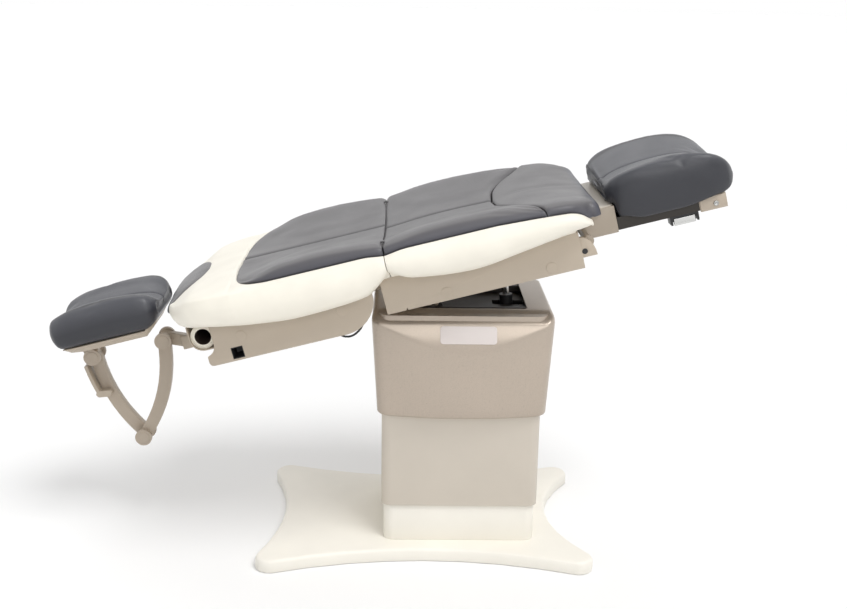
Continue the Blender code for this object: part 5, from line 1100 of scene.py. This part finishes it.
def wire_loop():
    """Wire that hangs in a loop from the back's deck."""
    knots = [
        (-0.400, WIRE_DECK), (-0.400, 0.030), (-0.375, -0.036), (-0.338, -0.045), (-0.300, -0.010),
        (-0.290, WIRE_DECK)]
    places = [TABLE @ Vector((p.x, WIRE_SIDE, p.y)) for p in curved(knots, (5, 7, 5, 6, 8))]
    data = bpy.data.curves.new("wire_loop", "CURVE")
    data.dimensions = "3D"
    spline = data.splines.new("POLY")
    spline.points.add(len(places) - 1)
    for point, place in zip(spline.points, places):
        point.co = (*place, 1.0)
    data.bevel_depth = 0.5 * WIRE_DIAMETER
    data.bevel_resolution = 4
    data.use_fill_caps = True
    loop = bpy.data.objects.new("wire_loop", data)
    data.materials.append(FINISH["cable"])
    bpy.context.scene.collection.objects.link(loop)
    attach(loop, "back")
    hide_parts("cable_loop")


# Hard pieces with softened edges

def rounded_off(bm, geom, width, segments, affect="EDGES"):
    """Rounds over edges, or corners where affect says VERTICES."""
    bmesh.ops.bevel(
        bm, geom=geom, offset=width, offset_type="OFFSET", segments=segments, profile=0.5, affect=affect,
        clamp_overlap=True, material=-1)


def fixed_on(piece, body):
    """Crisp edges for a hard piece that no solid stands for, hung on its body."""
    piece.data.set_sharp_from_angle(angle=CRISP_ANGLE)
    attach(piece, body)


def stand_in(piece, node_name):
    """A hard piece shown in place of a solid: hung on the solid's body, the solid hidden."""
    fixed_on(piece, body_of[node_name])
    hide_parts(node_name)


def softened(node_name, width):
    """Copy of a solid with its edges rounded over, in its place."""
    bm = bmesh.new()
    bm.from_mesh(nodes[node_name].data)
    bmesh.ops.remove_doubles(bm, verts=bm.verts, dist=2e-5)
    bmesh.ops.dissolve_limit(bm, angle_limit=math.radians(1.0), verts=bm.verts, edges=bm.edges)
    sharp = [e for e in bm.edges if len(e.link_faces) == 2 and e.calc_face_angle(0.0) > math.radians(30.0)]
    rounded_off(bm, sharp, width, 2)
    stand_in(finished(node_name + "_edged", bm, finish_of(node_name)), node_name)


EDGES = {
    "base_cover": 0.0015, "lower_shroud": 0.001, "middle_shroud": 0.001,
    "seat_frame": 0.0015, "back_frame": 0.0015, "foot_bracket_near": 0.002, "foot_bracket_far": 0.002,
    "foot_box": 0.003, "foot_tray": 0.0012, "latch_housing": 0.0012,
    "headrest_upper_link": 0.003, "headrest_lower_link": 0.003, "headrest_release_lever": 0.002,
    "headrest_shell": 0.003, "headrest_bar": 0.002, "paper_tray": 0.0006, "paper_roll": 0.0008,
    "accessory_socket_near": 0.0006, "accessory_socket_far": 0.0006, "power_inlet": 0.0008, "column_head": 0.001,
}


# Upper shroud, label plate and small fittings

SHROUD_LOW = 0.4562
SHROUD_TOP = 0.767
SHROUD_HALF_X = 0.2500
SHROUD_HALF_Y = 0.2315
SHROUD_BOW = 0.030
SHROUD_FLARE = 0.018
SHROUD_WALL = 0.0045
SHROUD_CORNER = 0.030
SHROUD_HEM = ((0.0, 0.006), (0.0015, 0.003), (0.004, 0.001), (0.008, 0.0))
HEM_TOP = 0.008
HEAD_OPENING = (0.190, 0.160, 0.012)
LOWER_OPENING = (0.2375, 0.2195, SHROUD_CORNER)
SHOULDER = 0.030
FRONT_ROLL = 0.052
SIDE_ROLL = 0.014
FACET_LOW = 0.650
FACET_TOP = 0.757
FACET_CUT = 0.036
CREASE_SOFT = 0.0012
FACET_LEAD = 0.004
DRUM_FACE = 0.0388


def shroud_plan(half_x, half_y, radius):
    """Rounded rectangle with close points, so that bows and creases stay smooth."""
    points = []
    for sign_x, sign_y, start in ((1, -1, -90), (1, 1, 0), (-1, 1, 90), (-1, -1, 180)):
        centre = (sign_x * (half_x - radius), sign_y * (half_y - radius))
        for k in range(9):
            angle = math.radians(start + 90.0 * k / 8)
            points.append((centre[0] + radius * math.cos(angle), centre[1] + radius * math.sin(angle)))
        following = {(1, -1): (half_x, half_y - radius), (1, 1): (radius - half_x, half_y),
                     (-1, 1): (-half_x, radius - half_y), (-1, -1): (half_x - radius, -half_y)}[(sign_x, sign_y)]
        steps = 24 if sign_x * sign_y < 0 else 96
        last = points[-1]
        points += [(last[0] + (following[0] - last[0]) * k / steps, last[1] + (following[1] - last[1]) * k / steps)
                   for k in range(1, steps)]
    return points


def facet_reach(z):
    """How far front and back reach at height z, cut back by the lens-shaped facet."""
    share = (z - FACET_LOW) / (FACET_TOP - FACET_LOW)
    return SHROUD_HALF_Y + SHROUD_BOW - FACET_CUT * max(share, 0.0) * (0.35 + 0.65 * max(share, 0.0))


def shroud_ring(z, drawn_in, rolled=0.0):
    """Outline at height z; rolled takes front and back further in than the sides."""
    half_x = SHROUD_HALF_X + SHROUD_FLARE * min((z - SHROUD_LOW) / (FACET_TOP - SHROUD_LOW), 1.0) - drawn_in
    half_y = SHROUD_HALF_Y - drawn_in - rolled
    ring = []
    for x, y in shroud_plan(half_x, half_y, SHROUD_CORNER):
        bowed = abs(y) * (1.0 + SHROUD_BOW * max(0.0, 1.0 - (x / half_x) ** 2) / half_y)
        cut = facet_reach(z) - drawn_in - rolled
        gap = abs(bowed - cut) / CREASE_SOFT
        reach = min(bowed, cut) - CREASE_SOFT * math.log(1.0 + math.exp(-gap)) if gap < 30.0 else min(bowed, cut)
        ring.append((x, math.copysign(reach, y), z))
    return ring


def flat_ring(half_x, half_y, radius, z):
    """Plain rounded outline at height z."""
    return [(x, y, z) for x, y in shroud_plan(half_x, half_y, radius)]


def upper_shroud_skin():
    """Upper shroud: bowed front with a lens-shaped facet, rounded shoulder, opening for the column head."""
    low, top, wall = SHROUD_LOW, SHROUD_TOP, SHROUD_WALL
    shoulder, crease = top - SHOULDER, FACET_LOW - FACET_LEAD
    rows = [shroud_ring(low + rise, inward) for rise, inward in SHROUD_HEM]
    rows += [shroud_ring(z, 0.0) for z in stretch(low + HEM_TOP, crease, 8) + stretch(crease, shoulder, 44)]
    for k in range(1, 13):
        turn = 0.5 * math.pi * k / 12
        rolled = (FRONT_ROLL - SIDE_ROLL) * (1.0 - math.cos(turn))
        rows.append(shroud_ring(shoulder + SHOULDER * math.sin(turn), SIDE_ROLL * (1.0 - math.cos(turn)), rolled))
    inside = (SHROUD_HALF_X - wall, SHROUD_HALF_Y - wall, SHROUD_CORNER)
    rows += [
        flat_ring(*outline, z) for outline, z in (
            (HEAD_OPENING, top), (HEAD_OPENING, top - wall), (inside, top - wall), (inside, low + wall),
            (LOWER_OPENING, low + wall), (LOWER_OPENING, low))]
    rows.append(rows[0])
    plain = [[0.0] * len(rows[0])] * len(rows)
    bm = draped_grid(rows, plain, plain, True, Matrix.Identity(4))
    bmesh.ops.recalc_face_normals(bm, faces=bm.faces)
    stand_in(finished("upper_shroud_skin", bm, FINISH["taupe_metal"]), "upper_shroud")


def rounded_plate(length, height, thick, corner, edge, place):
    """Thin plate with rounded corners and a softened rim, raised from its place."""
    bm = bmesh.new()
    bmesh.ops.create_grid(bm, x_segments=1, y_segments=1, size=0.5)
    bmesh.ops.scale(bm, vec=(length, height, 1.0), verts=bm.verts)
    rounded_off(bm, list(bm.verts), corner, 6, "VERTICES")
    grown = bmesh.ops.extrude_face_region(bm, geom=list(bm.faces))
    raised = [v for v in grown["geom"] if isinstance(v, bmesh.types.BMVert)]
    bmesh.ops.translate(bm, vec=(0.0, 0.0, thick), verts=raised)
    rim = [e for e in bm.edges if all(v.co.z > 0.5 * thick for v in e.verts)]
    rounded_off(bm, rim, edge, 3)
    bmesh.ops.recalc_face_normals(bm, faces=bm.faces)
    bm.transform(place)
    return bm


PLATE_X = 0.0136
PLATE_Z = 0.711
PLATE_PROUD = 0.0006


def bare_plate():
    """Label plate on the facet, left bare."""
    lean = math.atan2(facet_reach(PLATE_Z - 0.01) - facet_reach(PLATE_Z + 0.01), 0.02)
    place = Matrix.Translation((PLATE_X, -facet_reach(PLATE_Z) - PLATE_PROUD, PLATE_Z))
    place = place @ Matrix.Rotation(0.5 * math.pi - lean, 4, "X")
    bm = rounded_plate(0.164, 0.052, 0.002, 0.009, 0.0008, place)
    stand_in(finished("bare_plate", bm, sprayed("plate_enamel", paint(230, 221, 217), 700.0, 0.30)), "label_plate")


def box_lid():
    """Lid plate on the foot section's box, its edge a step in from the box's sides."""
    place = TABLE @ Matrix.Translation((0.414, 0.0, 0.1301))
    # Lid in the lighter beige: painted reflection of the light on the box's top
    lid = finished("box_lid", rounded_plate(0.098, 0.388, 0.003, 0.010, 0.0012, place), FINISH["beige"])
    fixed_on(lid, "foot")


def discs(name, body, material, places, radius, height, dimple):
    """Round caps or bolt heads on the outer faces of side panels, at (u, y, w) places."""
    bm = bmesh.new()
    for u, y, w in places:
        part = bmesh.new()
        bmesh.ops.create_cone(
            part, cap_ends=True, cap_tris=False, segments=40, radius1=radius, radius2=radius, depth=height)
        crown = max(part.faces, key=lambda face: face.calc_center_median().z)
        rounded_off(part, list(crown.edges), 0.45 * height, 3)
        crown = max(part.faces, key=lambda face: face.calc_center_median().z)
        bmesh.ops.inset_region(
            part, faces=[crown], thickness=0.45 * radius, depth=-dimple * height, use_even_offset=True)
        turn = Matrix.Rotation(math.copysign(0.5 * math.pi, -y), 4, "X")
        part.transform(TABLE @ Matrix.Translation((u, y + math.copysign(0.5 * height, y), w)) @ turn)
        made = bpy.data.meshes.new(name + "_part")
        part.to_mesh(made)
        part.free()
        bm.from_mesh(made)
        bpy.data.meshes.remove(made)
    fixed_on(finished(name, bm, material), body)


def latch_paddle():
    """Bright paddle of the foot latch inside its black housing, with a finger groove."""
    low, high = Vector((0.6265, -0.1865, 0.0265)), Vector((0.6895, -0.1765, 0.0475))
    bm = bmesh.new()
    bmesh.ops.create_cube(bm, size=1.0)
    bmesh.ops.scale(bm, vec=high - low, verts=bm.verts)
    bmesh.ops.translate(bm, vec=0.5 * (low + high), verts=bm.verts)
    rounded_off(bm, list(bm.edges), 0.002, 3)
    near = min(bm.faces, key=lambda face: face.calc_center_median().y)
    bmesh.ops.inset_region(bm, faces=[near], thickness=0.004, depth=-0.0015, use_even_offset=True)
    bm.transform(TABLE)
    stand_in(finished("latch_paddle", bm, FINISH["chrome"]), "foot_latch")


PLUG_CAPS = {"seat": ((-0.050, 0.023), (0.251, 0.022)), "back": ((-0.645, 0.039), (-0.349, 0.040))}
DRUMS = {"headrest_slide": (-0.939, 0.008), "headrest_upper": (-1.091, -0.280), "headrest_lower": (-1.165, 0.010)}
TRAY_BOLT = (0.750, 0.2015, 0.069)
SIDES = (-1.0, 1.0)


def fittings():
    """Plug caps on the side panels, bolts at the end of the foot tray, rims on the headrest's drums."""
    for body, spots in PLUG_CAPS.items():
        caps = [(u, side * FRAME_HALF_WIDTH, w) for u, w in spots for side in SIDES]
        discs(body + "_plug_caps", body, FINISH["frame_beige"], caps, 0.016, 0.0012, 0.0)
    bolts = [(TRAY_BOLT[0], side * TRAY_BOLT[1], TRAY_BOLT[2]) for side in SIDES]
    discs("tray_bolts", "foot_extension", FINISH["steel"], bolts, 0.0075, 0.004, 0.6)
    for body, (u, w) in DRUMS.items():
        rims = [(u, side * DRUM_FACE, w) for side in SIDES]
        discs(body + "_drum_rims", body, DRUM_PAINT, rims, 0.0190, 0.0016, 0.5)


# Stage, lamps and camera

def white_floor():
    """Pale floor that stays white to the camera outside the object's shadow."""
    made, tree, shader = start_material("studio_floor")
    link = tree.links.new
    shader.inputs["Base Color"].default_value = paint(238, 238, 238)
    shader.inputs["Roughness"].default_value = 0.9
    shader.inputs["Specular IOR Level"].default_value = 0.0
    path = put(tree, "ShaderNodeLightPath")
    first = put(tree, "ShaderNodeMath", operation="MAXIMUM")
    link(path.outputs["Is Camera Ray"], first.inputs[0])
    link(path.outputs["Is Glossy Ray"], first.inputs[1])
    both = put(tree, "ShaderNodeMath", operation="MAXIMUM")
    link(first.outputs["Value"], both.inputs[0])
    link(path.outputs["Is Transmission Ray"], both.inputs[1])
    lift = put(tree, "ShaderNodeMath", {1: 0.12}, operation="MULTIPLY")
    link(both.outputs["Value"], lift.inputs[0])
    shader.inputs["Emission Color"].default_value = (1.0, 1.0, 1.0, 1.0)
    link(lift.outputs["Value"], shader.inputs["Emission Strength"])
    bm = bmesh.new()
    bmesh.ops.create_circle(bm, cap_ends=True, radius=60.0, segments=64)
    floor = finished("studio_floor", bm, made)


def studio_sky():
    """White surroundings, weaker as light than they look to the camera and in reflections."""
    sky = bpy.data.worlds.new("studio_sky")
    bpy.context.scene.world = sky
    sky.use_nodes = True
    tree = sky.node_tree
    back = tree.nodes["Background"]
    back.inputs["Color"].default_value = (1.0, 1.0, 1.0, 1.0)
    path = put(tree, "ShaderNodeLightPath")
    sharp = put(tree, "ShaderNodeMath", operation="MAXIMUM")
    tree.links.new(path.outputs["Is Camera Ray"], sharp.inputs[0])
    tree.links.new(path.outputs["Is Glossy Ray"], sharp.inputs[1])
    seen = put(tree, "ShaderNodeMapRange", {"To Min": 0.50, "To Max": 1.0})
    tree.links.new(sharp.outputs["Value"], seen.inputs["Value"])
    tree.links.new(seen.outputs["Result"], back.inputs["Strength"])


def soft_sun(name, towards, strength, spread_angle):
    """Broad studio lamp far away, shining from the given direction."""
    data = bpy.data.lights.new(name, "SUN")
    data.energy = strength
    data.angle = math.radians(spread_angle)
    lamp = bpy.data.objects.new(name, data)
    lamp.rotation_euler = Vector(towards).to_track_quat("Z", "Y").to_euler()
    bpy.context.scene.collection.objects.link(lamp)


def soft_box(name, place, target, width, height, power):
    """Studio soft box: a broad lamp near the camera that draws highlights along rounded edges."""
    data = bpy.data.lights.new(name, "AREA")
    data.shape = "RECTANGLE"
    data.size = width
    data.size_y = height
    data.energy = power
    lamp = bpy.data.objects.new(name, data)
    lamp.location = place
    lamp.rotation_euler = (Vector(place) - Vector(target)).to_track_quat("Z", "Y").to_euler()
    bpy.context.scene.collection.objects.link(lamp)


CAMERA_PLACE = (-0.179, -3.419, 1.709)
CAMERA_TURNS = (1.10, -15.95, 0.88)
FOCAL_PIXELS = 1155.0
PHOTO_WIDTH = 847.0
SENSOR_WIDTH = 36.0


def photo_camera():
    """Camera at the photograph's viewing angle."""
    yaw, pitch, roll = map(math.radians, CAMERA_TURNS)
    ahead = Vector((math.sin(yaw) * math.cos(pitch), math.cos(yaw) * math.cos(pitch), math.sin(pitch)))
    right = Vector((math.cos(yaw), -math.sin(yaw), 0.0))
    up = right.cross(ahead)
    turned_right = math.cos(roll) * right + math.sin(roll) * up
    turned_up = math.cos(roll) * up - math.sin(roll) * right
    place = Matrix((turned_right, turned_up, -ahead)).transposed().to_4x4()
    place.translation = CAMERA_PLACE
    data = bpy.data.cameras.new("photo_camera")
    data.sensor_width = SENSOR_WIDTH
    data.lens = FOCAL_PIXELS / PHOTO_WIDTH * SENSOR_WIDTH
    camera = bpy.data.objects.new("photo_camera", data)
    camera.matrix_world = place
    bpy.context.scene.collection.objects.link(camera)
    bpy.context.scene.camera = camera


photo_camera()
wire_loop()
seat_pads()
back_pad()
fold_strip()
white_bolsters()
neck_cushion()
headrest_cushion()
foot_cushion()
upper_shroud_skin()
bare_plate()
box_lid()
latch_paddle()
fittings()
for edged, edge_width in EDGES.items():
    softened(edged, edge_width)
white_floor()
studio_sky()
soft_sun("key_lamp", (0.36, -0.36, 0.87), 1.48, 28.0)
soft_box("front_box", (0.7, -3.2, 2.35), (0.0, 0.0, 0.75), 2.4, 1.2, 21.0)
soft_sun("top_lamp", (-0.20, 0.55, 0.8), 0.45, 50.0)
soft_sun("side_lamp", (-0.90, -0.15, 0.40), 0.22, 50.0)
bpy.context.scene.view_settings.view_transform = "Standard"

bpy.context.view_layer.update()
